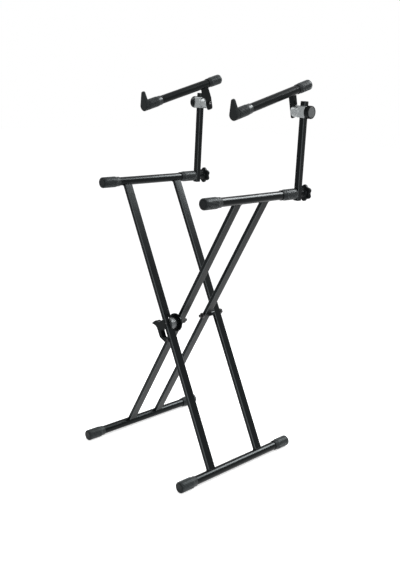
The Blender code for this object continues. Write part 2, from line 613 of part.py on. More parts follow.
def second_tier(side, name):
    # side is +1 on the right, and the arm lies inward, towards the middle.
    inward = -side
    upright_axis = axis_point(name + "_upright_axis", stand, (side * ARM_HALF_SPACING, UPRIGHT_Y, ARM_HEIGHT))

    # Square tube with a plastic plug in each end
    low = -UPRIGHT_BELOW_ARM
    high = UPRIGHT_TOP - ARM_HEIGHT
    outer = rounded_rectangle(UPRIGHT_WIDTH, UPRIGHT_WIDTH, UPRIGHT_CORNER)
    bore_width = UPRIGHT_WIDTH - 2 * UPRIGHT_WALL
    inner = rounded_rectangle(bore_width, bore_width, UPRIGHT_CORNER - UPRIGHT_WALL)
    tube = place(name + "_upright_tube", pipe(outer, inner, low, high, "Z"), "black_steel", upright_axis)
    screw_hole = cutter(name + "_star_screw_hole", extruded(circle(STAR_SCREW_RADIUS + GAP, 12), -0.04, 0.04),
                        upright_axis)
    cut(tube, screw_hole)
    for plug_name, end, outward in (("top", high, 1), ("base", low, -1)):
        depth = PLUG_DEPTH if outward > 0 else PLUG_DEPTH * 0.6
        stem = rounded_rectangle(bore_width - 2 * GAP, bore_width - 2 * GAP, UPRIGHT_CORNER - UPRIGHT_WALL)
        edge = rounded_rectangle(UPRIGHT_WIDTH - 0.003, UPRIGHT_WIDTH - 0.003, UPRIGHT_CORNER)
        rings = [(stem, end - outward * depth), (stem, end + outward * GAP), (outer, end + outward * GAP),
                 (outer, end + outward * (PLUG_THICKNESS - 0.001)), (edge, end + outward * PLUG_THICKNESS)]
        mesh = loft([[Vector((a, b, z)) for a, b in outline] for outline, z in rings])
        place(name + "_upright_" + plug_name + "_plug", mesh, "black_plastic", upright_axis)

    # Star knob behind the upright, with its screw through the upright into the arm's end
    star_axis = axis_point(name + "_star_knob_axis", upright_axis)
    hub_front = UPRIGHT_WIDTH / 2 + GAP
    head_front = hub_front + STAR_HUB_LENGTH
    head_back = head_front + STAR_THICKNESS
    per_lobe = 6
    count = STAR_LOBES * per_lobe
    mid_radius = STAR_RADIUS - STAR_LOBE_DEPTH / 2

    def star_ring(y, shrink):
        ring = []
        for i in range(count):
            angle = 2 * math.pi * i / count
            radius = mid_radius + STAR_LOBE_DEPTH / 2 * math.cos(STAR_LOBES * angle) - shrink
            ring.append(Vector((radius * math.sin(angle), y, radius * math.cos(angle))))
        return ring

    def hub_ring(y, radius):
        return [Vector((radius * math.sin(2 * math.pi * i / count), y, radius * math.cos(2 * math.pi * i / count)))
                for i in range(count)]

    bore = STAR_SCREW_RADIUS / math.cos(math.pi / 16) + GAP
    socket_floor = head_back - 0.004
    mesh = loft([hub_ring(socket_floor, bore), hub_ring(hub_front, bore), hub_ring(hub_front, STAR_HUB_RADIUS),
                 hub_ring(head_front, STAR_HUB_RADIUS), star_ring(head_front, 0.002), star_ring(head_front + 0.002, 0),
                 star_ring(head_back - 0.002, 0), star_ring(head_back, 0.002)])
    place(name + "_star_knob", mesh, "black_plastic", star_axis)
    place(name + "_star_knob_screw",
          extruded(circle(STAR_SCREW_RADIUS, 16), -UPRIGHT_WIDTH / 2 - STAR_SCREW_REACH, socket_floor - GAP),
          "zinc_steel", star_axis)

    # Clamp that slides on the upright
    clamp_axis = axis_point(name + "_clamp_axis", upright_axis, (0, 0, CLAMP_HEIGHT - ARM_HEIGHT))
    half_tall = CLAMP_TALL / 2
    block = rounded_outline([(-CLAMP_FRONT, -half_tall, CLAMP_CORNER), (CLAMP_FRONT, -half_tall, CLAMP_CORNER),
                             (CLAMP_FRONT, half_tall, CLAMP_CORNER), (-CLAMP_FRONT, half_tall, CLAMP_CORNER)], 3)
    clamp = place(name + "_clamp_body", extruded(block, side * CLAMP_OUTER, inward * (CLAMP_INNER - 0.0005), "X"),
                  "silver_alloy", clamp_axis)
    boss = [(CLAMP_INNER, half_tall - 0.001), (CLAMP_INNER - 0.001, half_tall),
            (CLAMP_INNER - CLAMP_BOSS_LENGTH, half_tall),
            (CLAMP_INNER - CLAMP_BOSS_LENGTH - CLAMP_BOSS_TAPER, CLAMP_FRONT - 0.0005)]
    cut(clamp, cutter(name + "_clamp_boss", turned([(inward * a, r) for a, r in boss], 32, "X"), clamp_axis), "UNION")
    opening = UPRIGHT_WIDTH + 2 * GAP
    cut(clamp, cutter(name + "_clamp_bore", extruded(rounded_rectangle(opening, opening, UPRIGHT_CORNER), -0.05, 0.05, "Z"),
                      clamp_axis))
    cut(clamp, cutter(name + "_clamp_screw_hole",
                      extruded(circle(CLAMP_SCREW_RADIUS + GAP, 16), 0, side * 0.05, "X"), clamp_axis))
    cut(clamp, cutter(name + "_tilt_bolt_hole",
                      extruded(circle(TILT_BOLT_RADIUS + GAP, 16), 0, inward * 0.05, "X"), clamp_axis))

    # Clamp knob on the outer side; its screw presses on the upright
    knob_axis = axis_point(name + "_clamp_knob_axis", clamp_axis)
    start = CLAMP_OUTER + GAP
    end = start + CLAMP_KNOB_LENGTH
    screw_bore = CLAMP_SCREW_RADIUS / math.cos(math.pi / 16) + GAP
    edge_radius = CLAMP_KNOB_RADIUS - CLAMP_KNOB_ROUNDING
    profile = [(end - 0.005, screw_bore), (start, screw_bore), (start, CLAMP_KNOB_RADIUS - 0.001),
               (start + 0.001, CLAMP_KNOB_RADIUS), (end - CLAMP_KNOB_ROUNDING, CLAMP_KNOB_RADIUS), (end, edge_radius)]
    place(name + "_clamp_knob", turned([(side * a, r) for a, r in profile], CAP_SIDES, "X"), "black_plastic", knob_axis)
    place(name + "_clamp_screw",
          extruded(circle(CLAMP_SCREW_RADIUS, 16), side * (UPRIGHT_WIDTH / 2 + GAP), side * (end - 0.005 - GAP), "X"),
          "zinc_steel", knob_axis)

    # Tilting joint: the upper arm and its bracket turn about the bolt's axis
    tilt_axis = axis_point(name + "_tilt_axis", clamp_axis, (0, 0, 0), (UPPER_ARM_TILT, 0, 0))
    disc_start = CLAMP_INNER + GAP
    disc_end = TILT_DISC_END
    bolt_bore = TILT_BOLT_RADIUS / math.cos(math.pi / 16) + GAP
    waist = TILT_DISC_RADIUS - TILT_WAIST_DEPTH
    waist_end = disc_start + TILT_WAIST_LENGTH
    profile = [(disc_start, bolt_bore), (disc_start, waist), (waist_end, waist),
               (waist_end + TILT_STEP_LENGTH, TILT_DISC_RADIUS), (disc_end - TILT_END_TAPER, TILT_DISC_RADIUS),
               (disc_end, TILT_DISC_RADIUS - 0.0028), (disc_end, bolt_bore)]
    place(name + "_tilt_disc", turned([(inward * a, r) for a, r in profile], 32, "X", closed=True),
          "silver_alloy", tilt_axis)

    # Bracket of folded sheet: a web in front, a short outer cheek and a long inner ear with the bolt through it
    ear_low = disc_end + GAP
    ear_high = ear_low + BRACKET_SHEET
    web_low = ear_high - BRACKET_WIDTH
    top = UPPER_ARM_ABOVE
    ear_bottom = -TILT_DISC_RADIUS - EAR_BELOW_DISC
    ear = rounded_outline([(-EAR_HALF_WIDTH, ear_bottom, EAR_CORNER), (EAR_HALF_WIDTH, ear_bottom, EAR_CORNER),
                           (EAR_HALF_WIDTH, TILT_DISC_RADIUS, 0.004), (-EAR_HALF_WIDTH + BRACKET_DEPTH, top, 0),
                           (-EAR_HALF_WIDTH, top, 0)], 4)
    bracket = place(name + "_arm_bracket", extruded(ear, inward * ear_low, inward * ear_high, "X"), "black_steel",
                    tilt_axis)
    web_bottom = TILT_DISC_RADIUS + 0.0015
    channel = [(web_low, -EAR_HALF_WIDTH), (ear_high - 0.001, -EAR_HALF_WIDTH),
               (ear_high - 0.001, -EAR_HALF_WIDTH + BRACKET_SHEET), (web_low + BRACKET_SHEET, -EAR_HALF_WIDTH + BRACKET_SHEET),
               (web_low + BRACKET_SHEET, -EAR_HALF_WIDTH + BRACKET_DEPTH), (web_low, -EAR_HALF_WIDTH + BRACKET_DEPTH)]
    channel_tool = cutter(name + "_bracket_channel",
                          extruded([(inward * a, b) for a, b in channel], web_bottom, top, "Z"), tilt_axis)
    cut(bracket, channel_tool, "UNION")
    arm_centre = (inward * UPPER_ARM_INWARD, 0, UPPER_ARM_ABOVE)
    cope_tool = cutter(name + "_bracket_cope", extruded(circle(TUBE_RADIUS + GAP, TUBE_SIDES), -0.1, 0.1), tilt_axis,
                       arm_centre)
    cut(bracket, cope_tool)
    above = [(-0.05, -0.05), (0.05, -0.05), (0.05, 0.05), (-0.05, 0.05)]
    cut(bracket, cutter(name + "_bracket_trim", extruded(above, UPPER_ARM_ABOVE - 0.004, 0.12, "Z"), tilt_axis,
                        (arm_centre[0], 0, 0)))
    cut(bracket, cutter(name + "_ear_hole", extruded(circle(TILT_BOLT_RADIUS + GAP, 16), 0, inward * 0.08, "X"),
                        tilt_axis))
    bolt(name + "_tilt_bolt", "zinc_steel", tilt_axis, (0, 0, 0),
         (inward * (ear_high + GAP + TILT_HEAD_THICKNESS), inward * (ear_high + GAP), TILT_HEAD_RADIUS),
         (inward * (ear_high + GAP), inward * (UPRIGHT_WIDTH / 2 + GAP), TILT_BOLT_RADIUS), "X")

    # Upper arm with its rear cap and its hooked front cap
    place(name + "_upper_arm_tube", round_pipe(TUBE_RADIUS, TUBE_WALL, TUBE_SIDES, UPPER_TUBE_FRONT, UPPER_TUBE_REAR),
          "black_steel", tilt_axis, arm_centre)
    end_cap(name + "_upper_rear_cap", tilt_axis, (arm_centre[0], UPPER_TUBE_REAR, arm_centre[2]), 1,
            UPPER_CAP_RADIUS, UPPER_CAP_LIP_RADIUS, UPPER_CAP_LENGTH)
    front = end_cap(name + "_upper_hook_cap", tilt_axis, (arm_centre[0], UPPER_TUBE_FRONT, arm_centre[2]), -1,
                    UPPER_CAP_RADIUS, UPPER_CAP_LIP_RADIUS, UPPER_CAP_LENGTH)
    wide = []
    low_arc = 10
    for i in range(low_arc + 1):
        angle = math.pi + math.pi * i / low_arc
        wide.append((UPPER_CAP_RADIUS * math.cos(angle), UPPER_CAP_RADIUS * math.sin(angle)))
    tip_arc = 6
    for i in range(tip_arc + 1):
        angle = math.pi * i / tip_arc
        wide.append((HOOK_TIP_HALF_WIDTH * math.cos(angle),
                     HOOK_HEIGHT - HOOK_TIP_HALF_WIDTH + HOOK_TIP_HALF_WIDTH * math.sin(angle)))
    back = -GAP - CAP_END_WALL + 0.0005
    span = HOOK_HEIGHT + UPPER_CAP_RADIUS

    def hook_front(height):
        share = (height + UPPER_CAP_RADIUS) / span
        return back - HOOK_THICKNESS + (HOOK_THICKNESS - HOOK_TIP_THICKNESS) * share

    mesh = loft([[Vector((a, back, b)) for a, b in wide], [Vector((a, hook_front(b), b)) for a, b in wide]])
    cut(front, cutter(name + "_hook", mesh, tilt_axis, (arm_centre[0], UPPER_TUBE_FRONT, arm_centre[2])), "UNION")


second_tier(-1, "left")
second_tier(1, "right")
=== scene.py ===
# Two-tier x-style keyboard stand
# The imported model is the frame, and each section dresses one group of its pieces.

import math
import bpy
import bmesh
from mathutils import Matrix, Vector


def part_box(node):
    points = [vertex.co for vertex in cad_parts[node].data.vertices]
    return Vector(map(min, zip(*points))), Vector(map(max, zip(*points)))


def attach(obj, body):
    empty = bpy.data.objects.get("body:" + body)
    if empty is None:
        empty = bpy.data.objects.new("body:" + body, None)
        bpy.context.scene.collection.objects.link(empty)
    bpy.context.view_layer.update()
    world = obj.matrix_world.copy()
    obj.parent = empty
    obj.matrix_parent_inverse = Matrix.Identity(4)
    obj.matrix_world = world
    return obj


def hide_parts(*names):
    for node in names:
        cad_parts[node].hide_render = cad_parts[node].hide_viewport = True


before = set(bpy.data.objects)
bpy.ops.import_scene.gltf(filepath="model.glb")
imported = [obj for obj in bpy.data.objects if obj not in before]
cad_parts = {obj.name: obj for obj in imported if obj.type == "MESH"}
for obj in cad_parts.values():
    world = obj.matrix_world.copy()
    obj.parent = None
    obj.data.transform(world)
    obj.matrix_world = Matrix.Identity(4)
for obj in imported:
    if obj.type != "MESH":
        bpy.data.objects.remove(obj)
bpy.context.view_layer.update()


# Studio
# A white floor and a white surround, which gloss sees too. A large soft lamp behind on the right draws the
# line along each tube, and two others light the front and the left.

scene = bpy.context.scene
scene.view_settings.view_transform = "Standard"


def add_node(tree, kind, values=None, **links):
    """New node with its fixed inputs set and its linked inputs joined to other nodes' outputs."""
    node = tree.nodes.new(kind)
    for key, value in (values or {}).items():
        if isinstance(key, str) and hasattr(node, key):
            setattr(node, key, value)
        else:
            node.inputs[key].default_value = value
    for key, output in links.items():
        name = key.replace("_", " ")
        tree.links.new(output, node.inputs[name] if name in node.inputs else node.inputs[int(key[-1])])
    return node


def feed(tree, socket, value):
    """Joins a socket to another node's output, or sets it to a fixed value."""
    if isinstance(value, bpy.types.NodeSocket):
        tree.links.new(value, socket)
    else:
        socket.default_value = value


def maths(tree, operation, *values):
    """Output of a Math node."""
    node = tree.nodes.new("ShaderNodeMath")
    node.operation = operation
    for socket, value in zip(node.inputs, values):
        feed(tree, socket, value)
    return node.outputs[0]


def blended(tree, share, one, other):
    """Colour that goes from one to the other as the share goes from 0 to 1."""
    node = tree.nodes.new("ShaderNodeMix")
    node.data_type = "RGBA"
    for number, value in ((0, share), (6, one), (7, other)):
        feed(tree, node.inputs[number], value)
    return node.outputs[2]


def new_material(name):
    """Material whose node tree is still empty."""
    material = bpy.data.materials.new(name)
    material.use_nodes = True
    material.node_tree.nodes.clear()
    return material, material.node_tree


SURROUND_WHITE = 1.0
SURROUND_FILL = 0.55

world = bpy.data.worlds.new("studio_surround")
scene.world = world
# Met by rays only, never sampled as a lamp, so that gloss sees the same white as the camera does.
world.cycles.sampling_method = "NONE"
world.use_nodes = True
sky = world.node_tree
sky.nodes.clear()


def seen_directly(tree):
    """Value that is 1 for camera, glossy and transmission rays, which all see the background itself."""
    ray = add_node(tree, "ShaderNodeLightPath").outputs
    either = maths(tree, "MAXIMUM", ray["Is Camera Ray"], ray["Is Glossy Ray"])
    return maths(tree, "MAXIMUM", either, ray["Is Transmission Ray"])


strength = add_node(sky, "ShaderNodeMix", {"data_type": "FLOAT", "A": SURROUND_FILL, "B": SURROUND_WHITE},
                    Factor=seen_directly(sky))
glow = add_node(sky, "ShaderNodeBackground", {"Color": (1.0, 1.0, 1.0, 1.0)}, Strength=strength.outputs[0])
add_node(sky, "ShaderNodeOutputWorld", Surface=glow.outputs[0])

# Near the stand the floor is mostly pale paint, which takes the shadow. Further out it is mostly a white
# glow that only direct rays see, over dark paint that throws little light back up.
FLOOR_HALF = 12.0
FLOOR_WHITE = (0.82, 0.82, 0.82, 1.0)
FLOOR_DARK = (0.10, 0.10, 0.105, 1.0)
FLOOR_NEAR = 0.75
FLOOR_FAR = 1.7
GLOW_NEAR = 0.55
GLOW_FAR = 1.0

floor_mesh = bpy.data.meshes.new("studio_floor")
floor_mesh.from_pydata([(-FLOOR_HALF, -FLOOR_HALF, 0), (FLOOR_HALF, -FLOOR_HALF, 0),
                        (FLOOR_HALF, FLOOR_HALF, 0), (-FLOOR_HALF, FLOOR_HALF, 0)], [], [(0, 1, 2, 3)])
floor = bpy.data.objects.new("studio_floor", floor_mesh)
scene.collection.objects.link(floor)
floor_paint, tree = new_material("floor_paint")
place = add_node(tree, "ShaderNodeTexCoord")
reach = add_node(tree, "ShaderNodeVectorMath", {"operation": "LENGTH"}, in_0=place.outputs["Object"])
far = add_node(tree, "ShaderNodeMapRange", {"interpolation_type": "SMOOTHSTEP", "From Min": FLOOR_NEAR,
                                            "From Max": FLOOR_FAR}, Value=reach.outputs["Value"])
card = blended(tree, far.outputs[0], FLOOR_WHITE, FLOOR_DARK)
matte = add_node(tree, "ShaderNodeBsdfDiffuse", Color=card)
glow = add_node(tree, "ShaderNodeMapRange", {"To Min": GLOW_NEAR, "To Max": GLOW_FAR}, Value=far.outputs[0])
share = maths(tree, "MULTIPLY", seen_directly(tree), glow.outputs[0])
seen_glow = add_node(tree, "ShaderNodeEmission", {"Color": (1.0, 1.0, 1.0, 1.0)}, Strength=share)
lit = add_node(tree, "ShaderNodeAddShader", in_0=matte.outputs[0], in_1=seen_glow.outputs[0])
add_node(tree, "ShaderNodeOutputMaterial", Surface=lit.outputs[0])
floor_mesh.materials.append(floor_paint)


def soft_lamp(name, place, aim, long_way, sizes, power):
    """Studio lamp that faces a point, its longer side along a direction."""
    data = bpy.data.lights.new(name, "AREA")
    data.shape = "RECTANGLE"
    data.size, data.size_y = sizes
    data.energy = power
    lamp = bpy.data.objects.new(name, data)
    lamp.visible_camera = False
    scene.collection.objects.link(lamp)
    back = (Vector(place) - Vector(aim)).normalized()
    along = Vector(long_way)
    along = (along - back * along.dot(back)).normalized()
    turned = Matrix((along, back.cross(along), back)).transposed().to_4x4()
    lamp.matrix_world = Matrix.Translation(place) @ turned


# The first is far off, so that every tube sees it at one angle and the legs' flat faces don't mirror it.
soft_lamp("back_right_lamp", place=(1.69, 5.23, 5.37), aim=(0.25, 0.0, 0.95), long_way=(0.951, 0.0, -0.309),
          sizes=(3.6, 1.4), power=640)
soft_lamp("top_left_lamp", place=(-2.2, -0.6, 3.0), aim=(0.0, 0.0, 0.6), long_way=(0.0, 1.0, 0.0),
          sizes=(1.6, 1.2), power=32)
soft_lamp("front_lamp", place=(2.25, -2.65, 1.5), aim=(0.0, 0.0, 0.8), long_way=(0.0, 0.0, 1.0),
          sizes=(1.2, 0.5), power=36)


# Camera
# It stands to the front right at about the height of the upper arms, where the photograph was taken from.

CAMERA_PLACE = (1.9187, -1.9297, 1.3454)
CAMERA_TURN = 0.7730
CAMERA_DOWN = 0.2254
CAMERA_ROLL = 0.0510
CAMERA_LENS = 50.29
CAMERA_SENSOR = 36.0
CAMERA_SHIFT = (-0.0102, -0.0570)

level_ahead = Vector((-math.sin(CAMERA_TURN), math.cos(CAMERA_TURN), 0))
level_right = Vector((math.cos(CAMERA_TURN), math.sin(CAMERA_TURN), 0))
ahead = level_ahead * math.cos(CAMERA_DOWN) - Vector((0, 0, math.sin(CAMERA_DOWN)))
over = level_ahead * math.sin(CAMERA_DOWN) + Vector((0, 0, math.cos(CAMERA_DOWN)))
right = level_right * math.cos(CAMERA_ROLL) + over * math.sin(CAMERA_ROLL)
above = over * math.cos(CAMERA_ROLL) - level_right * math.sin(CAMERA_ROLL)
camera_data = bpy.data.cameras.new("camera")
camera_data.lens = CAMERA_LENS
camera_data.sensor_width = CAMERA_SENSOR
camera_data.shift_x, camera_data.shift_y = CAMERA_SHIFT
camera = bpy.data.objects.new("camera", camera_data)
scene.collection.objects.link(camera)
camera.matrix_world = (Matrix.Translation(CAMERA_PLACE)
                       @ Matrix((right, above, -ahead)).transposed().to_4x4())
scene.camera = camera


# Round steel tubes
# The arms and the feet are 30 mm steel tube, drawn and welded, then powder coated in a satin black that
# has a faint orange peel. Each is made by turning its wall round the tube's axis with Geometry Nodes.

def group_with(name, inputs, outputs):
    """Empty shader group with named sockets. Inputs and outputs are (name, socket type, default)."""
    tree = bpy.data.node_groups.new(name, "ShaderNodeTree")
    for direction, sockets in (("INPUT", inputs), ("OUTPUT", outputs)):
        for label, kind, default in sockets:
            socket = tree.interface.new_socket(label, in_out=direction, socket_type="NodeSocket" + kind)
            if default is not None:
                socket.default_value = default
    return tree, tree.nodes.new("NodeGroupInput"), tree.nodes.new("NodeGroupOutput")


# Speckle: fine lumps of a coat or a moulding, with a little uneven colour and shine
speckle, enter, leave = group_with(
    "speckle",
    [("Scale", "Float", 400.0), ("Patch Scale", "Float", 9.0), ("Colour", "Color", None),
     ("Pale Colour", "Color", None), ("Low Gloss", "Float", 0.4), ("High Gloss", "Float", 0.5)],
    [("Colour", "Color", None), ("Roughness", "Float", None), ("Height", "Float", None)])
place = add_node(speckle, "ShaderNodeTexCoord")
grains = add_node(speckle, "ShaderNodeTexNoise", {"Detail": 3.0, "Roughness": 0.55},
                  Vector=place.outputs["Object"], Scale=enter.outputs["Scale"])
patches = add_node(speckle, "ShaderNodeTexNoise", {"Detail": 4.0, "Roughness": 0.6},
                   Vector=place.outputs["Object"], Scale=enter.outputs["Patch Scale"])
both = maths(speckle, "MULTIPLY", grains.outputs[0], patches.outputs[0])
spread = add_node(speckle, "ShaderNodeMapRange", {"From Min": 0.12, "From Max": 0.42}, Value=both)
tone = blended(speckle, spread.outputs[0], enter.outputs["Colour"], enter.outputs["Pale Colour"])
gloss = add_node(speckle, "ShaderNodeMapRange", {"From Min": 0.3, "From Max": 0.7}, Value=patches.outputs[0],
                 To_Min=enter.outputs["Low Gloss"], To_Max=enter.outputs["High Gloss"])
speckle.links.new(tone, leave.inputs["Colour"])
speckle.links.new(gloss.outputs[0], leave.inputs["Roughness"])
speckle.links.new(grains.outputs[0], leave.inputs["Height"])

# Edge rub: where a sharp edge has been handled, the finish wears paler
edge_rub, enter, leave = group_with(
    "edge_rub", [("Colour", "Color", None), ("Worn Colour", "Color", None), ("Amount", "Float", 0.5)],
    [("Colour", "Color", None)])
shape = add_node(edge_rub, "ShaderNodeNewGeometry")
ridge = add_node(edge_rub, "ShaderNodeMapRange", {"From Min": 0.54, "From Max": 0.66},
                 Value=shape.outputs["Pointiness"])
place = add_node(edge_rub, "ShaderNodeTexCoord")
broken = add_node(edge_rub, "ShaderNodeTexNoise", {"Scale": 14.0, "Detail": 2.0},
                  Vector=place.outputs["Object"])
torn = add_node(edge_rub, "ShaderNodeMapRange", {"From Min": 0.25, "From Max": 0.65}, Value=broken.outputs[0])
worn = maths(edge_rub, "MULTIPLY", ridge.outputs[0], torn.outputs[0])
amount = maths(edge_rub, "MULTIPLY", worn, enter.outputs["Amount"])
tone = blended(edge_rub, amount, enter.outputs["Colour"], enter.outputs["Worn Colour"])
edge_rub.links.new(tone, leave.inputs["Colour"])

# Lathe lines: fine rings that a turned metal part shows across its axis
lathe_lines, enter, leave = group_with(
    "lathe_lines",
    [("Direction", "Vector", (0.0, 1.0, 0.0)), ("Scale", "Float", 2600.0), ("Roughness", "Float", 0.35),
     ("Height", "Float", 0.5), ("Share", "Float", 0.6), ("Spread", "Float", 0.14)],
    [("Roughness", "Float", None), ("Height", "Float", None)])
place = add_node(lathe_lines, "ShaderNodeTexCoord")
along = add_node(lathe_lines, "ShaderNodeVectorMath", {"operation": "DOT_PRODUCT"},
                 in_0=place.outputs["Object"], in_1=enter.outputs["Direction"])
rings = add_node(lathe_lines, "ShaderNodeTexNoise", {"noise_dimensions": "1D", "Detail": 2.0},
                 W=along.outputs["Value"], Scale=enter.outputs["Scale"])
shift = maths(lathe_lines, "SUBTRACT", rings.outputs[0], 0.5)
for share, base in (("Spread", "Roughness"), ("Share", "Height")):
    uneven = maths(lathe_lines, "MULTIPLY_ADD", shift, enter.outputs[share], enter.outputs[base])
    lathe_lines.links.new(uneven, leave.inputs[base])


def finish_material(name, colour, pale, gloss, grain, patch, bump, shader_values, worn=None, lines=None,
                    painted_light_mark=None):
    """Material of one finish, with speckled colour and shine and a fine bump. Worn edges are given as
    (colour, amount), lathe lines as their direction, and a painted highlight or painted shade on part of the
    mesh as (attribute, colour)."""
    material, tree = new_material(name)
    lumps = add_node(tree, "ShaderNodeGroup", {
        "node_tree": speckle, "Scale": grain, "Patch Scale": patch, "Colour": (*colour, 1.0),
        "Pale Colour": (*pale, 1.0), "Low Gloss": gloss[0], "High Gloss": gloss[1]})
    tone = lumps.outputs["Colour"]
    roughness = lumps.outputs["Roughness"]
    height = lumps.outputs["Height"]
    if worn:
        rubbed = add_node(tree, "ShaderNodeGroup", {
            "node_tree": edge_rub, "Worn Colour": (*worn[0], 1.0), "Amount": worn[1]}, Colour=tone)
        tone = rubbed.outputs["Colour"]
    if painted_light_mark:
        mark = add_node(tree, "ShaderNodeAttribute", {"attribute_name": painted_light_mark[0]})
        tone = blended(tree, mark.outputs["Fac"], tone, (*painted_light_mark[1], 1.0))
    if lines:
        cut = add_node(tree, "ShaderNodeGroup", {"node_tree": lathe_lines, "Direction": lines},
                       Roughness=roughness, Height=height)
        roughness = cut.outputs["Roughness"]
        height = cut.outputs["Height"]
    uneven = add_node(tree, "ShaderNodeBump", {"Strength": bump[0], "Distance": bump[1]}, Height=height)
    shader = add_node(tree, "ShaderNodeBsdfPrincipled", shader_values, Base_Color=tone,
                      Roughness=roughness, Normal=uneven.outputs[0])
    add_node(tree, "ShaderNodeOutputMaterial", Surface=shader.outputs[0])
    return material


COOL_TINT = (0.84, 0.97, 1.0, 1.0)


def powder_coat(name, painted_light_mark=None):
    """Satin black powder coat, with a painted highlight on part of the mesh where a mark is given."""
    return finish_material(
        name, colour=(0.0022, 0.0027, 0.0029), pale=(0.0032, 0.0038, 0.0041), gloss=(0.20, 0.25), grain=900.0,
        patch=14.0, bump=(0.05, 0.00005), painted_light_mark=painted_light_mark,
        shader_values={"Specular IOR Level": 0.10, "Specular Tint": COOL_TINT})


black_coat = powder_coat("black_powder_coat")


def plain_copy(built, name):
    """Plain mesh object of an evaluated one, with its modifiers gone."""
    evaluated = built.evaluated_get(bpy.context.evaluated_depsgraph_get())
    mesh = bpy.data.meshes.new_from_object(evaluated)
    bpy.data.objects.remove(built)
    mesh.name = name
    piece = bpy.data.objects.new(name, mesh)
    scene.collection.objects.link(piece)
    return piece


def shaded(piece, angle=35.0):
    """Smooth shading that breaks at real edges."""
    piece.data.shade_smooth()
    piece.data.set_sharp_from_angle(angle=math.radians(angle))
    return piece


def belong(piece, body, slot, *nodes):
    """Puts a finished piece on its body and hides the solids that it stands for. The slot is not used."""
    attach(piece, body)
    if nodes:
        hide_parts(*nodes)
    return piece


def modifier_with(holder, tree, values):
    """Geometry Nodes modifier with its named inputs set before anything is evaluated."""
    modifier = holder.modifiers.new(tree.name, "NODES")
    modifier.node_group = tree
    for item in tree.interface.items_tree:
        if item.item_type == "SOCKET" and item.in_out == "INPUT" and item.name in values:
            modifier[item.identifier] = values[item.name]


def geometry_tree(name, inputs):
    """Empty geometry tree with named inputs, given as (name, socket type, default)."""
    tree = bpy.data.node_groups.new(name, "GeometryNodeTree")
    tree.is_modifier = True
    tree.interface.new_socket("Geometry", in_out="INPUT", socket_type="NodeSocketGeometry")
    for label, kind, default in inputs:
        socket = tree.interface.new_socket(label, in_out="INPUT", socket_type="NodeSocket" + kind)
        if default is not None:
            socket.default_value = default
    tree.interface.new_socket("Geometry", in_out="OUTPUT", socket_type="NodeSocketGeometry")
    return tree, tree.nodes.new("NodeGroupInput"), tree.nodes.new("NodeGroupOutput")


def finish_tree(tree, geometry, enter, leave):
    """Ends a geometry tree, its result made real and given the tree's material."""
    real = add_node(tree, "GeometryNodeRealizeInstances", Geometry=geometry)
    coated = add_node(tree, "GeometryNodeSetMaterial", Geometry=real.outputs[0],
                      Material=enter.outputs["Material"])
    tree.links.new(coated.outputs[0], leave.inputs[0])


def empty_holder(name):
    """Object with an empty mesh, to carry a modifier."""
    holder = bpy.data.objects.new(name, bpy.data.meshes.new(name))
    scene.collection.objects.link(holder)
    return holder


TUBE_RADIUS = 0.015
TUBE_WALL = 0.0015
TUBE_SIDES = 72

tube_tree, enter, leave = geometry_tree(
    "turned_tube", [("Radius", "Float", TUBE_RADIUS), ("Wall", "Float", TUBE_WALL), ("Length", "Float", 0.4),
                    ("Sides", "Int", TUBE_SIDES), ("Material", "Material", None)])
half_wall = maths(tube_tree, "MULTIPLY", enter.outputs["Wall"], 0.5)
middle = maths(tube_tree, "SUBTRACT", enter.outputs["Radius"], half_wall)
ring = add_node(tube_tree, "GeometryNodeCurvePrimitiveCircle", Resolution=enter.outputs["Sides"],
                Radius=middle)
wall = add_node(tube_tree, "GeometryNodeCurvePrimitiveQuadrilateral", Width=enter.outputs["Wall"],
                Height=enter.outputs["Length"])
swept = add_node(tube_tree, "GeometryNodeCurveToMesh", Curve=ring.outputs[0], Profile_Curve=wall.outputs[0])
finish_tree(tube_tree, swept.outputs[0], enter, leave)


def outward(mesh):
    """Turns every face of a closed mesh to the outside."""
    edit = bmesh.new()
    edit.from_mesh(mesh)
    bmesh.ops.recalc_face_normals(edit, faces=edit.faces)
    edit.to_mesh(mesh)
    edit.free()


def put(piece, matrix):
    """Moves a piece by its mesh, so that its object stays at the origin."""
    piece.data.transform(matrix)
    outward(piece.data)
    return piece


LAY_ALONG_Y = Matrix.Rotation(math.radians(-90), 4, "X")
UPPER_TILT = math.radians(15.5)


def axis_of(node, tilt):
    """Middle and length of a round tube, from its solid's box. The tilt is its rise towards the back."""
    low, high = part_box(node)
    length = ((high[1] - low[1]) - 2 * TUBE_RADIUS * math.sin(tilt)) / math.cos(tilt)
    return (Vector(low) + Vector(high)) / 2, length


def round_tube(name, body, node, tilt=0.0):
    """Tube in the place of its solid."""
    centre, length = axis_of(node, tilt)
    holder = empty_holder(name)
    modifier_with(holder, tube_tree, {"Radius": TUBE_RADIUS, "Wall": TUBE_WALL, "Length": length,
                                      "Sides": TUBE_SIDES, "Material": black_coat})
    place = Matrix.Translation(centre) @ Matrix.Rotation(tilt, 4, "X") @ LAY_ALONG_Y
    return belong(shaded(put(plain_copy(holder, name), place)), body, "black_steel", node)


SIDES = (("left", -1, "outer_frame"), ("right", 1, "inner_frame"))
for side, sign, arm_body in SIDES:
    foot_body = "inner_frame" if side == "left" else "outer_frame"
    round_tube(side + "_arm", arm_body, side + "_arm_tube")
    round_tube(side + "_foot", foot_body, side + "_foot_tube")
    round_tube(side + "_upper_arm_bar", side + "_upper_arm", side + "_upper_arm_tube", UPPER_TILT)


# Rectangular legs
# Four legs of 14.5 x 31 mm steel tube with rolled corners. Their ends are cut to the round tubes they meet,
# and the front outer one is cut away behind the pivot, where the lock sits.

def piece_from(edit, name):
    """Object with a mesh made from an edit, its faces turned outwards."""
    bmesh.ops.recalc_face_normals(edit, faces=edit.faces)
    piece = bpy.data.objects.new(name, bpy.data.meshes.new(name))
    edit.to_mesh(piece.data)
    edit.free()
    scene.collection.objects.link(piece)
    return piece


